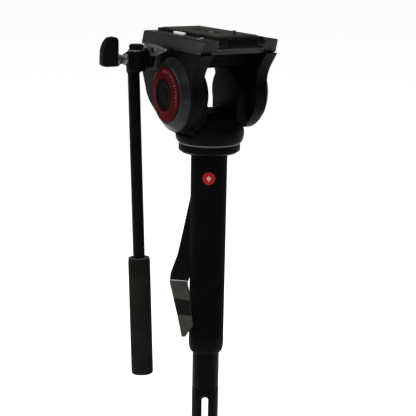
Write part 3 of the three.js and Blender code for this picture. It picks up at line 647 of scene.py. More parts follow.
def make_pad():
    """Two ribbed strips on each side of the screw slot, joined at both ends."""
    low, high = PLATE_FRONT + 6.4, PLATE_BACK - 5.4
    base = box((-22, low, PLATE_TOP - 0.9), (22, high, 61.9), 0.35)
    pin_hole = moved(rod(2.3, 58, 64, 32), at(0, TWIST_PIN_Y, 0))
    base = boolean(base, [box((-4.6, -22.6, 58), (4.6, 30.6, 64), 0), pin_hole])
    piece("pad_base", base, "plate", PAD_RUBBER, "plate_pad")
    section = fillet([(-0.72, 61.7), (0.72, 61.7), (0.5, 62.38, 0.3), (-0.5, 62.38, 0.3)], 3)
    ribs = []
    pitch = 2.35
    for k in range(-9, 10):
        x = k * pitch
        spans = [(low + 1.2, high - 1.2)]
        if abs(x) < 5.9:
            spans = [(low + 1.2, -24), (32, high - 1.2)]
            if abs(x) < 3.6:
                spans = [(low + 1.2, -46.8), (-41.2, -24), (32, high - 1.2)]
        for start, end in spans:
            rib = moved(prism(section, -end, -start), FRONTWAYS)
            ribs.append(moved(rib, at(x, 0, 0)))
    piece("pad_ribs", merged(*ribs), "plate", PAD_RUBBER)


def thread(radius, low, high, pitch=1.27, depth=0.45, sides=32):
    """A screw thread along Z as one closed body with a helical ridge."""
    built = bmesh.new()
    steps = int((high - low) / pitch * sides)
    section = [
        (radius - depth, -0.5), (radius, -0.06), (radius, 0.06), (radius - depth, 0.5),
        (radius - depth - 0.4, 0)]
    rows = []
    for k in range(steps + 1):
        turn = 2 * math.pi * k / sides
        height = low + pitch * k / sides
        rows.append([
            built.verts.new((r * math.cos(turn), r * math.sin(turn), height + h * pitch * 0.98))
            for r, h in section])
    for first, second in zip(rows, rows[1:]):
        for k in range(5):
            built.faces.new((first[k], first[(k + 1) % 5], second[(k + 1) % 5], second[k]))
    built.faces.new(rows[0])
    built.faces.new(rows[-1])
    return built


def make_camera_screw():
    centre = at(0, 2, 0)
    head = turned([(0, 51.6), (6.3, 51.6, 0.4), (6.3, 55.7, 0.5), (0, 55.7)], 3, 48)
    head = boolean(head, [box((-7, -0.8, 51), (7, 0.8, 53.2), 0)])
    core = turned([(0, 55.5), (2.75, 55.5), (2.75, 61.5, 0.6), (0, 61.9)], 3, 40)
    ridge = thread(3.1, 57.5, 61.0)
    piece("screw_head", moved(head, centre), "screw", DARK_STEEL, "camera_screw")
    piece("screw_core", moved(core, centre), "screw", TURNED_STEEL)
    piece("screw_thread", moved(ridge, centre), "screw", TURNED_STEEL)
    pin = turned([(0, 60.6), (1.9, 60.6), (1.9, 66.6, 0.6), (0, 66.7)], 4, 32)
    piece("twist_pin", moved(pin, at(0, TWIST_PIN_Y, 0)), "plate", DARK_STEEL, "anti_twist_pin")


def make_plate_controls():
    button = moved(turned([(0, 29.5), (3.1, 29.5), (3.1, 45.4, 0.8), (0, 46.4)], 4, 40), ALONG_X)
    piece("release_plunger", moved(button, AT_BUTTON), "release_button", DARK_STEEL, "plate_release_button")
    outline = fillet([
        (33.5, -24, 2), (47.4, -26, 4), (47.4, -4, 5), (38.6, 2, 3), (40.4, 22, 5), (36, 27, 5),
        (31.4, 22, 4), (33.5, 0),
    ], 6)
    lever = prism(outline, 44.9, 48.7, 0.7, 3)
    lever = boolean(lever, [box((44.2, -23 + 3.2 * k, 48.1), (48, -21.8 + 3.2 * k, 50), 0) for k in range(5)])
    piece("lock_lever_arm", lever, "plate_lever", BLACK_PLASTIC, "plate_lock_lever")


make_receiver()
make_guide_strip()
make_plate()
make_pad()
make_camera_screw()
make_plate_controls()

# ---- Tilt cheeks, rings and axles -----------------------------------------------------------

ROSETTE_Y, ROSETTE_Z = 38, 33
AT_ROSETTE = at(0, ROSETTE_Y, ROSETTE_Z)
# Where the scale on the tilt rings starts, in degrees round the axis.
RING_MARK_START = -90
RING_MARK_RADIUS, RING_RIM, RING_CREST = 24.6, 53.05, 54.75
CHEEK_INNER, CHEEK_OUTER = 30.3, 44
CHEEK_FRONT = ((-51.5, 37.5), (-45.5, 30), (-38, 20, -39.5, 10), (-43.5, -14, -30, -24),
    (-19, -36.5, -4, -38.5))
CHEEK_REAR = {
    "left": ((6, -38.8, 28, -29), (50, -14.5), (58, -8, 60.5, 0), (67, 14), (70, 30, 66, 44.2)),
    "right": ((22, -38.5, 33, -22), (41, -8, 41, 6), (42, 20, 53, 30), (62, 44.2)),
}


def make_cheek(side, name):
    flip = Matrix.Identity(4) if side < 0 else MIRROR_X
    place = flip @ TO_LEFT
    outline = traced((-57, 44.2), *CHEEK_FRONT, *CHEEK_REAR[name], count=10)
    plate = moved(prism(outline, -CHEEK_OUTER, -CHEEK_INNER, 1.1, 3), SIDEWAYS)
    recess = moved(rod(24.3, 29, 43, 72), TO_LEFT)
    plate = boolean(plate, [recess])
    drum = ring([
        (26.9, 43.2), (37.6, 43.2), (37.6, 44.6, 0.4), (30.0, 51.4, 1.2), (28.6, 51.8, 0.3), (28.0, 51.8),
        (27.8, 51.2), (16, 51.2), (16, 47), (8.3, 47), (8.3, 43.2),
    ], 4, 144)
    piece(f"{name}_cheek_plate", moved(plate, flip), "tilt", BLACK_COAT, f"{name}_cheek")
    piece(f"{name}_drum", moved(drum, place), "tilt", SLATE_COAT)
    band = ring([
        (16.3, 52.1), (27.5, 52.1, 0.2), (27.5, 52.7, 0.25), (26.6, 53.1, 0.2), (25.9, RING_RIM),
        (17.6, RING_CREST), (17.0, 55.0, 0.2), (16.3, 55.0, 0.2),
    ], 3, 144)
    piece(f"{name}_ring_band", moved(band, place), "tilt", RED_RING, f"{name}_tilt_ring")
    dashes = []
    slope = math.atan2(RING_CREST - RING_RIM, 25.9 - 17.6)
    for k in range(-3, 14):
        length = 2.6 if k % 4 == 0 else 1.4
        dash = box((-length, -0.2, -0.2), (0, 0.2, 0.14), 0.05)
        moved(dash, Matrix.Rotation(slope, 4, "Y"))
        moved(dash, at(RING_MARK_RADIUS, 0, RING_RIM + math.tan(slope) * 1.3))
        moved(dash, turn_z(RING_MARK_START + 7.5 * k))
        dashes.append(dash)
    piece(f"{name}_ring_marks", moved(merged(*dashes), place), "tilt", PALE_PRINT_AND_HIGHLIGHT)
    cap = turned([
        (0, 50.9), (15.2, 50.9, 0.2), (15.2, 54.9, 0.5), (13.6, 55.2, 0.3), (12.6, 53.9, 0.5),
        (6.4, 53.5, 0.4), (5.6, 54.4, 0.4), (0, 54.6),
    ], 4, 96)
    piece(f"{name}_hub_cap", moved(cap, place), "tilt", BLACK_PLASTIC, f"{name}_tilt_cap")
    axle = turned([
        (0, 19.1), (7.2, 19.1), (8, 20), (8, 47.4), (12, 47.4, 0.3), (12, 50.5, 0.4), (0, 50.5)], 3, 64)
    piece(f"{name}_axle_rod", moved(axle, place), "tilt", TURNED_STEEL, f"{name}_tilt_axle")
    cartridge = lathe([
        (8.3, 30.9), (23, 30.9), (24, 31.6), (24, 41.6), (23, 42.4), (8.3, 42.4), (8.3, 30.9)], 72)
    piece(f"{name}_drag_unit", moved(cartridge, place), "pan", DARK_STEEL, f"{name}_drag_cartridge")


def serrated_disc(radius, low, high, teeth=36, depth=0.5):
    """A disc about Z whose top face carries radial teeth."""
    built = bmesh.new()
    count = teeth * 2
    inner, outer, base = [], [], []
    for k in range(count):
        t = 2 * math.pi * k / count
        lift = high if k % 2 else high - depth
        inner.append(built.verts.new(
            (radius * 0.5 * math.cos(t), radius * 0.5 * math.sin(t), high - depth * 0.5)))
        outer.append(built.verts.new((radius * math.cos(t), radius * math.sin(t), lift)))
        base.append(built.verts.new((radius * math.cos(t), radius * math.sin(t), low)))
    for k in range(count):
        n = (k + 1) % count
        built.faces.new((inner[k], outer[k], outer[n], inner[n]))
        built.faces.new((outer[k], base[k], base[n], outer[n]))
    built.faces.new(inner)
    built.faces.new(list(reversed(base)))
    return built


def make_rosettes():
    disc = moved(serrated_disc(12, 44.3, 50.3), TO_LEFT)
    piece("rosette_teeth", moved(disc, AT_ROSETTE), "tilt", LIGHT_METAL, "left_rosette")
    cap = turned([
        (0, 44.3), (9.5, 44.3), (9.5, 49.4, 1.2), (6, 50.3, 0.6), (5.4, 49.7, 0.3), (0, 49.7)], 4, 72)
    cap = moved(moved(cap, TO_LEFT), MIRROR_X)
    piece("rosette_cover", moved(cap, AT_ROSETTE), "tilt", BLACK_PLASTIC, "right_rosette_cap")


def make_tilt_lever():
    crescent = traced(
        (50, 45.2), (26, 50.2, 6, 46.2), (-7, 46.8), (-7, 45.4), (2.5, 43), (16, 38, 30, 35.7),
        (40, 34.1, 50.8, 33.8), (52.6, 40, 50, 45.2), count=12)[:-1]
    opening = traced((28, 39.2), (20, 40.9, 12.5, 43.5), (21.5, 45.8, 28, 44.8), count=10)
    bore = moved(moved(rod(10.6, 48, 57, 64), TO_LEFT), AT_ROSETTE)
    arm = boolean(moved(prism(crescent, -55, -50.6, 0.9, 3), SIDEWAYS),
        [moved(prism(opening, -57, -48), SIDEWAYS), bore])
    piece("tilt_lever_arm", arm, "tilt_lever", LIGHT_METAL, "tilt_lock_lever")
    hub = ring([(8.1, 50.6), (10.7, 50.6, 0.3), (10.7, 55, 0.6), (8.1, 55)], 3, 64)
    piece("tilt_lever_hub", moved(moved(hub, TO_LEFT), AT_ROSETTE), "tilt_lever", BLACK_PLASTIC)
    tip = turned([(0, 50.6), (2.6, 50.6, 0.5), (2.6, 55.4, 0.8), (0, 55.6)], 3, 32)
    piece("tilt_lever_tip", moved(moved(tip, TO_LEFT), at(0, -9.5, 46)), "tilt_lever", BLACK_PLASTIC)


make_cheek(-1, "left")
make_cheek(1, "right")
make_rosettes()
make_tilt_lever()


# ---- Pan bar, clamp and wing knob -----------------------------------------------------------

BAR_X, BAR_TOP, BAR_BOTTOM = -66, Vector((-66, 44.2, 24)), Vector((-66, 21.4, -302))
BAR_LENGTH = (BAR_BOTTOM - BAR_TOP).length
BAR_RADIUS, BAR_GRIP_RADIUS, BAR_GRIP_LENGTH = 6.2, 11.6, 127
ON_BAR = Matrix.Translation(BAR_TOP) @ Vector((0, 0, -1)).rotation_difference(
    (BAR_BOTTOM - BAR_TOP).normalized()).to_matrix().to_4x4()
AT_CLAMP = at(BAR_X, ROSETTE_Y, 0)


def make_clamp():
    barrel = moved(turned([(0, 20.6), (9.5, 20.6, 1.2), (9.5, 40.6, 0.3), (0, 40.6)], 4, 72), AT_CLAMP)
    socket = moved(turned([(0, -6), (7.0, -6, 0.3), (7.6, -3.4, 0.8), (7.6, 2), (0, 2)], 4, 64), ON_BAR)
    boss = moved(turned([(0, 50.6), (7.5, 50.6, 0.4), (7.5, 64), (0, 64)], 3, 64), AT_ROSETTE @ TO_LEFT)
    face = moved(turned([(0, 66), (7.5, 66), (7.5, 77, 0.6), (0, 77)], 3, 64), AT_ROSETTE @ TO_LEFT)
    body = boolean(barrel, [socket, boss, face], "UNION")
    body = boolean(body, [
        moved(rod(3.5, 48, 80, 40), AT_ROSETTE @ TO_LEFT),
        moved(rod(6.5, -16, 0.4, 48), ON_BAR),
    ])
    piece("clamp_body", body, "handle", BLACK_COAT, "bar_clamp")
    grub = moved(moved(screw_head(1.9, 0.3), ALONG_Y), at(BAR_X, ROSETTE_Y + 9.3, 26))
    piece("clamp_grub_screw", grub, "handle", DARK_STEEL)
    ridges = []
    for k in range(30):
        ridge = prism(arc(0.45, 0, 330, 7, (7.0, 0)), 43.2, 46.9, 0.2, 1)
        ridges.append(moved(ridge, AT_CLAMP @ turn_z(12 * k)))
    cap = turned([
        (0, 42.5), (7.0, 42.5), (7.0, 47.1, 0.2), (6.3, 47.9, 0.5), (5.2, 47.9, 0.2), (4.9, 47.4),
        (0, 47.4)], 3, 80)
    piece("cap_body", moved(cap, AT_CLAMP), "handle", KNOB_PLASTIC, "clamp_cap")
    piece("cap_ridges", merged(*ridges), "handle", KNOB_PLASTIC)
    rim = turned([(0, 40.9), (8.5, 40.9, 0.3), (8.5, 42.3, 0.5), (7.2, 42.7), (0, 42.7)], 3, 80)
    piece("cap_rim", moved(rim, AT_CLAMP), "handle", NECK_METAL)
    # Three pale dashes on the cap top are painted highlights where the knurled top catches the light, not
    # printed marks.
    dashes = []
    for k in range(3):
        dash = box((1.2, -0.5, 47.3), (4.6, 0.5, 47.75), 0.1)
        dashes.append(moved(dash, AT_CLAMP @ turn_z(120 * k + 20)))
    piece("cap_painted_highlights", merged(*dashes), "handle", PALE_PRINT_AND_HIGHLIGHT, slot="black_plastic")


def make_wing_knob():
    outline = traced(
        (-87.8, 27.4), (-87.8, 51.4), (-88, 55.8, -92, 56.2), (-97.4, 55.6), (-103.5, 52.2, -105.4, 42),
        (-105.9, 30), (-105.2, 26.4, -101, 26.4), (-90.4, 26.4), (-88, 26.4, -87.8, 27.4), count=10)[:-1]
    wing = moved(prism(outline, -4.4, 4.4, 1.6, 4), FRONTWAYS)
    piece("wing_body", moved(wing, at(0, ROSETTE_Y, 0)), "wing", KNOB_PLASTIC, "wing_knob")
    for side in (-1, 1):
        rib_outline = traced(
            (-90.6, 31.4), (-90.6, 49), (-90.8, 52.4, -93, 52.6), (-96, 52.2), (-99.8, 49.6, -101.4, 41),
            (-101.9, 32.4), (-101.6, 29.8, -99, 29.6), (-93, 29.6), (-90.8, 29.6, -90.6, 31.4),
            count=8)[:-1]
        raised = moved(prism(rib_outline, 4.2, 4.75, 0.25, 2), FRONTWAYS)
        if side > 0:
            raised = moved(raised, Matrix.Scale(-1, 4, (0, 1, 0)))
        piece(f"wing_face_{side + 1}", moved(raised, at(0, ROSETTE_Y, 0)), "wing", KNOB_PLASTIC)
    neck = turned([
        (0, 77.3), (5.9, 77.3, 0.4), (5.9, 79.6, 0.6), (4.7, 80.8, 0.5), (4.9, 84.6, 0.6), (6.3, 86.6, 0.5),
        (6.3, 89.2), (0, 89.2),
    ], 4, 64)
    piece("wing_neck", moved(neck, AT_ROSETTE @ TO_LEFT), "wing", NECK_METAL)
    bolt = turned([(0, 45.6), (2.2, 45.6), (3.0, 46.4), (3.0, 77.6), (0, 77.6)], 2, 40)
    piece("wing_bolt", moved(bolt, AT_ROSETTE @ TO_LEFT), "wing", TURNED_STEEL)


def make_pan_bar():
    foot = -BAR_LENGTH + 4
    bar = turned([(0, foot), (BAR_RADIUS, foot, 0.5), (BAR_RADIUS, 0, 0.5), (0, 0)], 3, 72)
    piece("bar_tube", moved(bar, ON_BAR), "handle", BAR_COAT, "pan_bar")
    low = -BAR_LENGTH + 2.2
    high = low + BAR_GRIP_LENGTH - 2.2
    radius, bore = BAR_GRIP_RADIUS, BAR_RADIUS + 0.3
    rows = 26
    wall = [(radius, low + 1 + (high - 6.4 - low) * k / rows) for k in range(rows + 1)]
    sleeve = lathe(
        fillet([(0, low - 2), (radius - 0.3, low - 2, 2.2), (radius, low + 0.9)], 6) + wall
        + fillet([(radius, high - 5.2), (radius - 0.4, high - 0.4, 1.0), (bore, high - 0.4)], 5)
        + [(bore, low + 1.5), (0, low + 1.5)], 80)
    soft = piece("grip_tube_foam", moved(sleeve, ON_BAR), "handle", GRIP_FOAM, "pan_bar_grip")
    collar = ring([
        (bore, high - 0.5), (radius - 0.5, high - 0.5, 0.3), (radius - 0.5, high - 0.02, 0.2),
        (bore, high - 0.02),
    ], 3, 80)
    piece("grip_end_ring", moved(collar, ON_BAR), "handle", GREY_RING)
    return soft


# ---- Pan body, level, pan lock and base flange ----------------------------------------------

AT_LEVEL = at(0, 20, 0)
AT_PAN_LOCK = at(0, 0, -41) @ ALONG_Y
PAN_BOTTOM, SADDLE = -50.5, -18.5
UPRIGHT_INNER, UPRIGHT_OUTER, UPRIGHT_RADIUS = 17, 29.9, 26


def make_pan_body():
    slab = box((-UPRIGHT_OUTER, -60, -60), (UPRIGHT_OUTER, 60, 0), 0)
    drum = boolean(turned([
        (0, PAN_BOTTOM), (33.6, PAN_BOTTOM, 0.8), (35, -47.1, 1), (35.8, -43, 2), (35.8, -38, 2),
        (33.5, -32, 3), (29, -25, 3), (22, SADDLE, 1), (0, SADDLE),
    ], 5, 144), [slab], "INTERSECT")
    skirt = turned([
        (0, PAN_BOTTOM), (33.0, PAN_BOTTOM, 0.6), (33.6, -49.9, 0.4), (35, -47.1, 1), (35.4, -44.5, 0.6),
        (35.4, -42.4, 0.6), (0, -42.4),
    ], 4, 144)
    tombstone = [(24.5, -34)] + arc(UPRIGHT_RADIUS, -19.6, 199.6, 64) + [(-24.5, -34)]
    right = moved(prism(tombstone, UPRIGHT_INNER, UPRIGHT_OUTER, 0.8, 3), SIDEWAYS)
    left = moved(prism(tombstone, -UPRIGHT_OUTER, -UPRIGHT_INNER, 0.8, 3), SIDEWAYS)
    body = boolean(drum, [skirt, right, left], "UNION")
    body = boolean(body, [
        *[moved(rod(8.3, 18.6, 40, 64), side) for side in (ALONG_X, TO_LEFT)],
        rod(7.3, -60, -28, 64),
        moved(rod(8.5, -29.5, -10, 64), AT_LEVEL),
        moved(rod(3.25, 34, 60, 40), AT_PAN_LOCK),
    ])
    piece("pan_housing", body, "pan", BLACK_COAT, "pan_body")


def make_level():
    cup = turned([
        (0, -29.2), (8.2, -29.2, 0.3), (8.2, -18.2, 0.7), (6.7, -18.2, 0.3), (6.4, -19.4), (6.4, -21.8),
        (0, -21.8)], 4, 80)
    piece("level_cup", moved(cup, AT_LEVEL), "pan", BLACK_PLASTIC, "level_vial", slot="vial")
    dome = [
        (6.3 * math.cos(math.radians(a)), -19.6 + 0.95 * math.sin(math.radians(a)))
        for a in range(10, 90, 10)]
    fluid = lathe([(0, -21.9), (6.3, -21.9), (6.3, -19.6)] + dome + [(0, -18.65)], 80)
    piece("level_fluid_dome", moved(fluid, AT_LEVEL), "pan", LEVEL_FLUID)
    circle = ring([(2.6, -18.85), (3.0, -18.85), (3.0, -18.62), (2.6, -18.6)], 1, 64)
    piece("level_circle", moved(circle, AT_LEVEL), "pan", BLACK_PLASTIC, slot="vial")


def scalloped(radius, dents, depth, count=180):
    return [(
        (radius - depth * (0.5 + 0.5 * math.cos(dents * t)) ** 3) * math.cos(t),
        (radius - depth * (0.5 + 0.5 * math.cos(dents * t)) ** 3) * math.sin(t),
    ) for t in (2 * math.pi * k / count for k in range(count))]


def make_pan_lock():
    shaft = turned([(0, 36.2), (3, 36.2, 0.3), (3, 44.4), (0, 44.4)], 2, 40)
    piece("pan_lock_shaft", moved(shaft, AT_PAN_LOCK), "pan_lock", TURNED_STEEL, "pan_lock_knob")
    knob = prism(scalloped(9.9, 12, 0.9), 44, 54.9, 1.0, 4)
    piece("pan_lock_head", moved(knob, AT_PAN_LOCK), "pan_lock", KNOB_PLASTIC)
    inlay = turned([(0, 54.5), (5.4, 54.5), (5.4, 55.0, 0.2), (0, 55.0)], 2, 48)
    piece("pan_lock_inlay", moved(inlay, AT_PAN_LOCK), "pan_lock", DARK_STEEL)


def make_flange():
    washer = ring([(12, -52.2), (32.2, -52.2, 0.2), (32.2, -50.8, 0.2), (12, -50.8)], 2, 128)
    piece("pan_bearing_ring", washer, "pan", LIGHT_METAL, "pan_washer")
    flange = ring([
        (7.3, -62), (28.4, -62, 0.5), (32, -59.4, 1.4), (32, -52.5, 0.4), (7.3, -52.5)], 5, 128)
    piece("flange_disc", flange, "column", BLACK_COAT, "base_flange")
    spindle = turned([
        (0, -70), (12, -70, 0.6), (12, -62.3, 0.3), (7, -62.3), (7, -28.7, 0.7), (0, -28.7)], 3, 64)
    piece("spindle_rod", spindle, "column", TURNED_STEEL, "pan_spindle")


# ---- Column: grip, badge, collar and tubes --------------------------------------------------

AT_BADGE = at(0, 0, -87)
GRIP_TOP, GRIP_BOTTOM = -63.8, -262.2
GRIP_BORE, GRIP_FACE = 16.1, 18.5
TUBE_BORE, TUBE_RADIUS, TUBE_TOP, TUBE_BOTTOM = 14.6, 15.8, -62.3, -279.8
MAST_BORE, MAST_RADIUS, MAST_TOP, MAST_BOTTOM = 12.5, 14.3, -92, -321.7
COLLAR_BOTTOM = -280.5


def make_column():
    tube = ring([(TUBE_BORE, TUBE_BOTTOM), (TUBE_RADIUS, TUBE_BOTTOM, 0.3), (TUBE_RADIUS, TUBE_TOP, 0.3),
        (TUBE_BORE, TUBE_TOP, 0.3)], 2, 96)
    piece("column_tube", tube, "column", BLACK_COAT, "outer_tube")
    rows = 36
    wall = [(18.6 + 0.4 * k / rows, -261.2 + 195.8 * k / rows) for k in range(rows + 1)]
    foot = fillet([(17.9, GRIP_BOTTOM), (18.55, GRIP_BOTTOM, 0.6), (18.6, -261.3)], 4)[1:]
    top = fillet([(19, -65), (18.8, GRIP_TOP, 0.9), (GRIP_BORE, GRIP_TOP)], 4)
    inner = [(GRIP_BORE, GRIP_BOTTOM)]
    sleeve = lathe(inner + foot + wall + top + inner, 128)
    pocket = moved(prism(arc(6.85, 0, 352.5, 47), -21, -18.0, 0), VIEW_TURN @ AT_BADGE @ ALONG_Y)
    piece("column_grip", boolean(sleeve, [pocket]), "column", GRIP_RUBBER, "grip_sleeve")


def bent_round(built, radius):
    """Lays a flat body (x across, z up, y outwards from zero) round the front of a cylinder."""
    for vert in built.verts:
        angle = vert.co.x / radius
        depth = radius + vert.co.y
        vert.co.x, vert.co.y = depth * math.sin(angle), -depth * math.cos(angle)
    return built


def disc_grid(radius, low, high, rings=7, sides=64):
    """A round body from y = low to y = high whose faces are fine enough to bend."""
    built = bmesh.new()
    layers = []
    for depth in (low, high):
        rows = [[built.verts.new((0, depth, 0))]]
        for r in range(1, rings + 1):
            reach = radius * r / rings
            turns = [2 * math.pi * k / sides for k in range(sides)]
            rows.append([
                built.verts.new((reach * math.cos(turn), depth, reach * math.sin(turn))) for turn in turns])
        for inner, outer in zip(rows, rows[1:]):
            for k in range(sides):
                corners = [
                    inner[k % len(inner)], outer[k], outer[(k + 1) % sides], inner[(k + 1) % len(inner)]]
                built.faces.new(list(dict.fromkeys(corners)))
        layers.append(rows[-1])
    for k in range(sides):
        n = (k + 1) % sides
        built.faces.new((layers[0][k], layers[0][n], layers[1][n], layers[1][k]))
    return built


def make_badge():
    place = VIEW_TURN @ AT_BADGE
    disc = bent_round(disc_grid(6.45, 0, 0.55), GRIP_FACE)
    piece("badge_disc", moved(disc, place), "column", RED_BADGE, "badge")
    diamond = bmesh.new()
    back, front = (
        [diamond.verts.new((x, y, z)) for x, z in ((0, -3.1), (2.4, 0), (0, 3.1), (-2.4, 0))]
        for y in (0.45, 0.74))
    sides = [[back[k], back[(k + 1) % 4], front[(k + 1) % 4], front[k]] for k in range(4)]
    for face in (back, front, *sides):
        diamond.faces.new(face)
    bmesh.ops.subdivide_edges(diamond, edges=diamond.edges, cuts=5, use_grid_fill=True)
    piece("badge_mark", moved(bent_round(diamond, GRIP_FACE), place), "column", PALE_BADGE)


def make_collar():
    curve = [
        (15 + 3.6 * math.sin(math.radians(a)), COLLAR_BOTTOM + 9 * (1 - math.cos(math.radians(a))))
        for a in range(0, 91, 6)]
    rim = fillet([(18.6, -263), (18.6, -262.6, 0.35), (GRIP_BORE, -262.6)], 3)
    inner = [(GRIP_BORE, -280.1), (TUBE_BORE, -280.1), (TUBE_BORE, COLLAR_BOTTOM)]
    collar = lathe([(TUBE_BORE, COLLAR_BOTTOM)] + curve + rim + inner, 144)
    ribs = []
    for k in range(36):
        rib = box((18.2, -0.45, -270.2), (18.8, 0.45, -264.2), 0.25)
        ribs.append(moved(rib, turn_z(10 * k)))
    piece("collar_shell", collar, "collar", BLACK_PLASTIC, "twist_collar")
    piece("collar_ribs", merged(*ribs), "collar", BLACK_PLASTIC)


def make_inner_tube():
    profile = fillet([(MAST_BORE, MAST_BOTTOM), (MAST_RADIUS, MAST_BOTTOM, 0.3),
        (MAST_RADIUS, MAST_TOP, 0.3), (MAST_BORE, MAST_TOP)], 2)
    tube = lathe(profile + [(MAST_BORE, MAST_BOTTOM)], 96)
    piece("mast_tube", tube, "mast", TUBE_COAT, "inner_tube")


# ---- Wrist strap ----------------------------------------------------------------------------

STRAP_STATIONS = (
    ((-18.5, 22.5, -112), (-1, 23, -112)), ((-24.8, 21, -143), (-7, 21.5, -143)),
    ((-32, 18, -178), (-15.5, 16, -178)), ((-39.2, 13, -198), (-18, 11, -198)),
    ((-40, 10, -207), (-20.8, 2, -206)), ((-37.4, 6.4, -216), (-18.6, -8.5, -213.5)),
    ((-31.4, -1, -238), (-16, -13.4, -236)), ((-27.4, -5, -256), (-14.3, -15.6, -247)),
    ((-25.8, -8, -263), (-22.6, -10.5, -262)),
)


def strap_band(start, end, thickness, lift, rows=10, columns=8):
    """A length of tape between two stations, given as fractions of the station list."""
    def edge_point(side, t):
        spot = min(max(t, 0), len(STRAP_STATIONS) - 1 - 1e-6)
        k = int(spot)
        a, b = Vector(STRAP_STATIONS[k][side]), Vector(STRAP_STATIONS[k + 1][side])
        return a.lerp(b, spot - k)

    built = bmesh.new()
    sheets = []
    total = max(2, int((end - start) * rows))
    for offset in (lift - thickness / 2, lift + thickness / 2):
        rows_made = []
        for r in range(total + 1):
            t = start + (end - start) * r / total
            left, right = edge_point(0, t), edge_point(1, t)
            along = edge_point(0, t + 0.5) - edge_point(0, t - 0.5)
            normal = along.cross(right - left).normalized()
            rows_made.append([
                built.verts.new(left.lerp(right, c / columns) + normal * offset)
                for c in range(columns + 1)])
        sheets.append(rows_made)
    for rows_made in sheets:
        for a, b in zip(rows_made, rows_made[1:]):
            for c in range(columns):
                built.faces.new((a[c], a[c + 1], b[c + 1], b[c]))
    low, high = sheets
    for r in range(total):
        for c in (0, columns):
            built.faces.new((low[r][c], low[r + 1][c], high[r + 1][c], high[r][c]))
    for c in range(columns):
        for r in (0, total):
            built.faces.new((low[r][c], low[r][c + 1], high[r][c + 1], high[r][c]))
    return built


def make_strap():
    layers = (
        ("strap_upper", (0, 3.78), 1.5, 0.3, BLACK_TAPE, "wrist_strap"),
        ("strap_lining", (0.02, 3.74), 0.5, -0.75, BLACK_TAPE, None),
        ("strap_lower", (3.8, 8), 1.5, 0, GREY_TAPE, None),
        ("strap_band", (5.35, 6.1), 1.9, 0, BAND_TAPE, None),
    )
    for name, span, thickness, lift, tape, stands_for in layers:
        piece(name, moved(strap_band(*span, thickness, lift), VIEW_TURN), "column", tape, stands_for)


make_clamp()
make_wing_knob()
bar_grip = make_pan_bar()
make_pan_body()
make_level()
make_pan_lock()
make_flange()
make_column()
make_badge()
make_collar()
make_inner_tube()
make_strap()


# ---- Fork joint, leg hub and legs -----------------------------------------------------------

FORK_PIN_Z = -375
AT_FORK_PIN = at(0, 0, FORK_PIN_Z)
LEG_ANGLES = {"front": -90, "right": 30, "left": 150}
LEG_LENGTH, LEG_SPREAD = 306, 30
# From the leg's pivot, in the drawing of a leg.
AT_LEVER_PIN = at(14, 0, -166)
# From the tilt axis, before the leg is turned to its own direction.
AT_LEG_PIVOT = at(27, 0, -408)


def make_fork():
    barrel = turned([(0, -389.4), (14.4, -389.4), (14.4, -322, 0.6), (0, -322)], 3, 96)
    block = box((-20, -20, FORK_PIN_Z), (20, 20, -321), 0)
    end = boolean(moved(rod(13.6, -20, 20, 96), AT_FORK_PIN @ ALONG_X), [block], "UNION")
    body = boolean(barrel, [end], "INTERSECT")
    slot = moved(prism(
        [(-3.4, -400), (3.4, -400)] + arc(3.4, 0, 180, 16, (0, -332.8)), -20, 20), FRONTWAYS)
    body = boolean(body, [slot, moved(rod(3.3, -20, 20, 48), AT_FORK_PIN @ ALONG_X)])
    plug = turned([(0, -324), (12.2, -324), (12.2, -300, 0.6), (0, -300)], 2, 64)
    piece("fork_prongs", moved(body, VIEW_TURN), "mast", FORK_PLASTIC, "fork")
    piece("fork_plug", plug, "mast", BLACK_PLASTIC)
    pin = turned([(0, -19.4), (3, -19.4, 0.4), (3, 15.2), (5, 15.2, 0.3), (5, 17.8, 0.8), (0, 17.8)], 3, 48)
    piece("fork_hinge_pin", moved(pin, VIEW_TURN @ AT_FORK_PIN @ ALONG_X), "base", TURNED_STEEL, "fork_pin")
    cam = ring([(3.3, -19.6), (7, -19.6), (7, -14.9, 0.4), (3.3, -14.9)], 3, 48)
    handle = traced(
        (0, -6.6), (7, -6), (26, -5.4), (31.8, -5, 31.8, -1), (31.6, 3, 26, 3), (7, 3.6), (0, 6.6),
        (-6.8, 5.8, -6.8, 0), (-6.8, -5.8, 0, -6.6), count=8)[:-1]
    arm = moved(moved(prism(handle, -22.3, -18.9, 0.8, 3), SIDEWAYS), AT_FORK_PIN)
    arm = boolean(arm, [moved(rod(3.3, -19.7, -10, 40), AT_FORK_PIN @ ALONG_X)])
    piece("fork_cam", moved(cam, VIEW_TURN @ AT_FORK_PIN @ ALONG_X), "fork_lever", TURNED_STEEL,
        "fork_lock_lever")
    piece("fork_lever_arm", moved(arm, VIEW_TURN), "fork_lever", BLACK_PLASTIC)


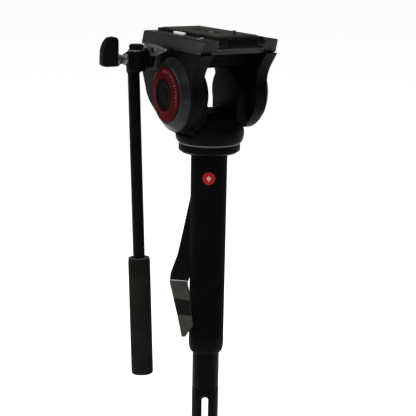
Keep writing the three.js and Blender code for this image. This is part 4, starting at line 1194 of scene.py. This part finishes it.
def make_hub():
    core = turned([
        (0, -424), (15, -424, 0.6), (18, -421, 1.2), (18, -404, 1.2), (22, -398, 1.5), (20, -390.9, 0.8),
        (0, -390.9)], 5, 128)
    root = box((-3.05, -12, -392.5), (3.05, 12, FORK_PIN_Z), 0)
    tongue = boolean(moved(rod(12, -3.05, 3.05, 72), AT_FORK_PIN @ ALONG_X), [root], "UNION")
    tongue = boolean(tongue, [moved(rod(3.3, -10, 10, 48), AT_FORK_PIN @ ALONG_X)])
    piece("hub_core", core, "base", BLACK_COAT, "leg_hub")
    piece("hub_tongue", moved(tongue, VIEW_TURN), "base", BLACK_COAT)
    lugs = []
    for angle in LEG_ANGLES.values():
        for side in (-1, 1):
            outline = [(10, -7.5), (27, -7.5)] + arc(7.5, -90, 90, 20, (27, 0)) + [(10, 7.5)]
            lug = moved(prism(outline, -2.2, 2.2, 0.6), FRONTWAYS)
            moved(lug, at(0, side * 9.4, -408))
            lug = boolean(lug, [moved(rod(2.6, -20, 20, 32), AT_LEG_PIVOT @ ALONG_Y)])
            lugs.append(moved(lug, turn_z(angle)))
    piece("hub_lugs", merged(*lugs), "base", BLACK_COAT)
    cap = turned([(0, -424.1), (9, -424.1), (9, -423.2, 0.3), (0, -423.2)], 2, 64)
    piece("hub_cap", cap, "base", DARK_STEEL)


def leg_place(angle):
    """Legs are drawn hanging straight down from the pivot, with x outwards."""
    return turn_z(angle) @ AT_LEG_PIVOT @ Matrix.Rotation(math.radians(-LEG_SPREAD), 4, "Y")


def make_leg(name, angle):
    place = leg_place(angle)
    upper, lower = f"{name}_leg", f"{name}_lower"
    tube = ring([
        (7.6, -172), (9, -172, 0.3), (9, -15, 0.8), (7.5, -12, 0.6), (0, -12), (0, -24), (7.6, -24)], 3, 80)
    knuckle = [(-6, -16), (6, -16), (6, -3.6)] + arc(7, -31, 211, 28) + [(-6, -3.6)]
    knuckle = moved(prism(knuckle, -6.7, 6.7, 0.7), FRONTWAYS)
    knuckle = boolean(knuckle, [moved(rod(2.6, -10, 10, 32), ALONG_Y)])
    piece(f"{name}_leg_tube", moved(tube, place), upper, BLACK_COAT, f"{name}_upper_leg")
    piece(f"{name}_leg_knuckle", moved(knuckle, place), upper, BLACK_PLASTIC, slot="black_metal")
    band = ring([(9.0, -40), (9.35, -40, 0.15), (9.35, -36, 0.15), (9.0, -36)], 2, 80)
    piece(f"{name}_leg_band", moved(band, place), upper, RED_RING)
    pivot = turn_z(angle) @ AT_LEG_PIVOT @ ALONG_Y
    bolt = turned([
        (0, -14), (4.2, -14, 0.8), (4.2, -11.9, 0.2), (2.3, -11.9), (2.3, 11.9), (4.2, 11.9, 0.2),
        (4.2, 14, 0.8), (0, 14)], 3, 40)
    bolt = boolean(bolt, [box((-5, -0.5, 13.2), (5, 0.5, 15), 0), box((-5, -0.5, -15), (5, 0.5, -13.2), 0)])
    piece(f"{name}_leg_bolt", moved(bolt, pivot), "base", TURNED_STEEL, f"{name}_leg_pivot")
    make_leg_lock(name, place, upper)
    thin = ring([(5.8, -292), (7, -292, 0.3), (7, -34, 0.3), (5.8, -34)], 2, 72)
    piece(f"{name}_lower_tube", moved(thin, place), lower, LEG_METAL, f"{name}_lower_leg")
    make_foot(name, place, lower)


def make_leg_lock(name, place, upper):
    clamp = ring([
        (7.3, -181), (10.6, -181, 0.5), (11.6, -178, 0.8), (11.6, -158, 0.8), (10.6, -157, 0.4),
        (9.3, -157), (9.3, -172.3), (7.3, -172.3)], 3, 96)
    ears = []
    for side in (-1, 1):
        ear = box((9.9, 3.6 if side > 0 else -6, -178), (16, 6 if side > 0 else -3.6, -162), 0.8)
        pin_bore = moved(rod(1.7, -10, 10, 24), AT_LEVER_PIN @ ALONG_Y)
        ear = boolean(ear, [rod(9.4, -190, -150, 64), pin_bore])
        ears.append(ear)
    piece(f"{name}_lock_ring", moved(clamp, place), upper, BLACK_PLASTIC, f"{name}_leg_collar")
    piece(f"{name}_lock_ears", moved(merged(*ears), place), upper, BLACK_PLASTIC)
    outline = traced(
        (12.4, -166), (12.4, -186), (12.6, -191.6, 15.4, -191.8), (16.6, -190), (16.2, -168),
        (16.3, -163.9, 14.3, -163.9), (12.4, -164, 12.4, -166), count=8)[:-1]
    arm = moved(prism(outline, -3.15, 3.15, 0.6, 3), FRONTWAYS)
    piece(f"{name}_lock_arm", moved(arm, place), f"{name}_lever", KNOB_PLASTIC, f"{name}_leg_lever")
    pin = turned([(0, -6.6), (1.4, -6.6, 0.3), (1.4, 6.6, 0.3), (0, 6.6)], 2, 24)
    piece(f"{name}_lock_pin", moved(pin, place @ AT_LEVER_PIN @ ALONG_Y), f"{name}_lever", TURNED_STEEL)


def make_foot(name, place, lower):
    spread = math.radians(LEG_SPREAD)
    floor_place = at(0, 0, -LEG_LENGTH) @ Matrix.Rotation(spread, 4, "Y")
    below = moved(box((-60, -60, -60), (60, 60, 0), 0), floor_place)
    boot = turned([
        (0, -318), (12, -318), (12, -304, 1.5), (11.2, -300), (9, -292.3, 0.6), (0, -292.3)], 4, 96)
    grooves = [
        lathe([(11.1, h), (13, h), (13, h + 0.8), (11.1, h + 0.8), (11.1, h)], 96)
        for h in (-303.6, -301.6)]
    boot = boolean(boot, [below, *grooves])
    piece(f"{name}_boot", moved(boot, place), lower, FOOT_RUBBER, f"{name}_foot")
    plug = turned([(0, -293), (5.5, -293), (5.5, -274, 0.5), (0, -274)], 2, 48)
    piece(f"{name}_boot_plug", moved(plug, place), lower, BLACK_PLASTIC, slot="rubber")


make_fork()
make_hub()
for leg_name, leg_angle in LEG_ANGLES.items():
    make_leg(leg_name, leg_angle)

# ---- Looks for the CAD nodes ----------------------------------------------------------------

for part in frame["record"]["subparts"]:
    cad = frame["nodes"][part["node"]]
    cad.data.materials.clear()
    cad.data.materials.append(SLOT_MATERIALS[part["material_slot"]][0])
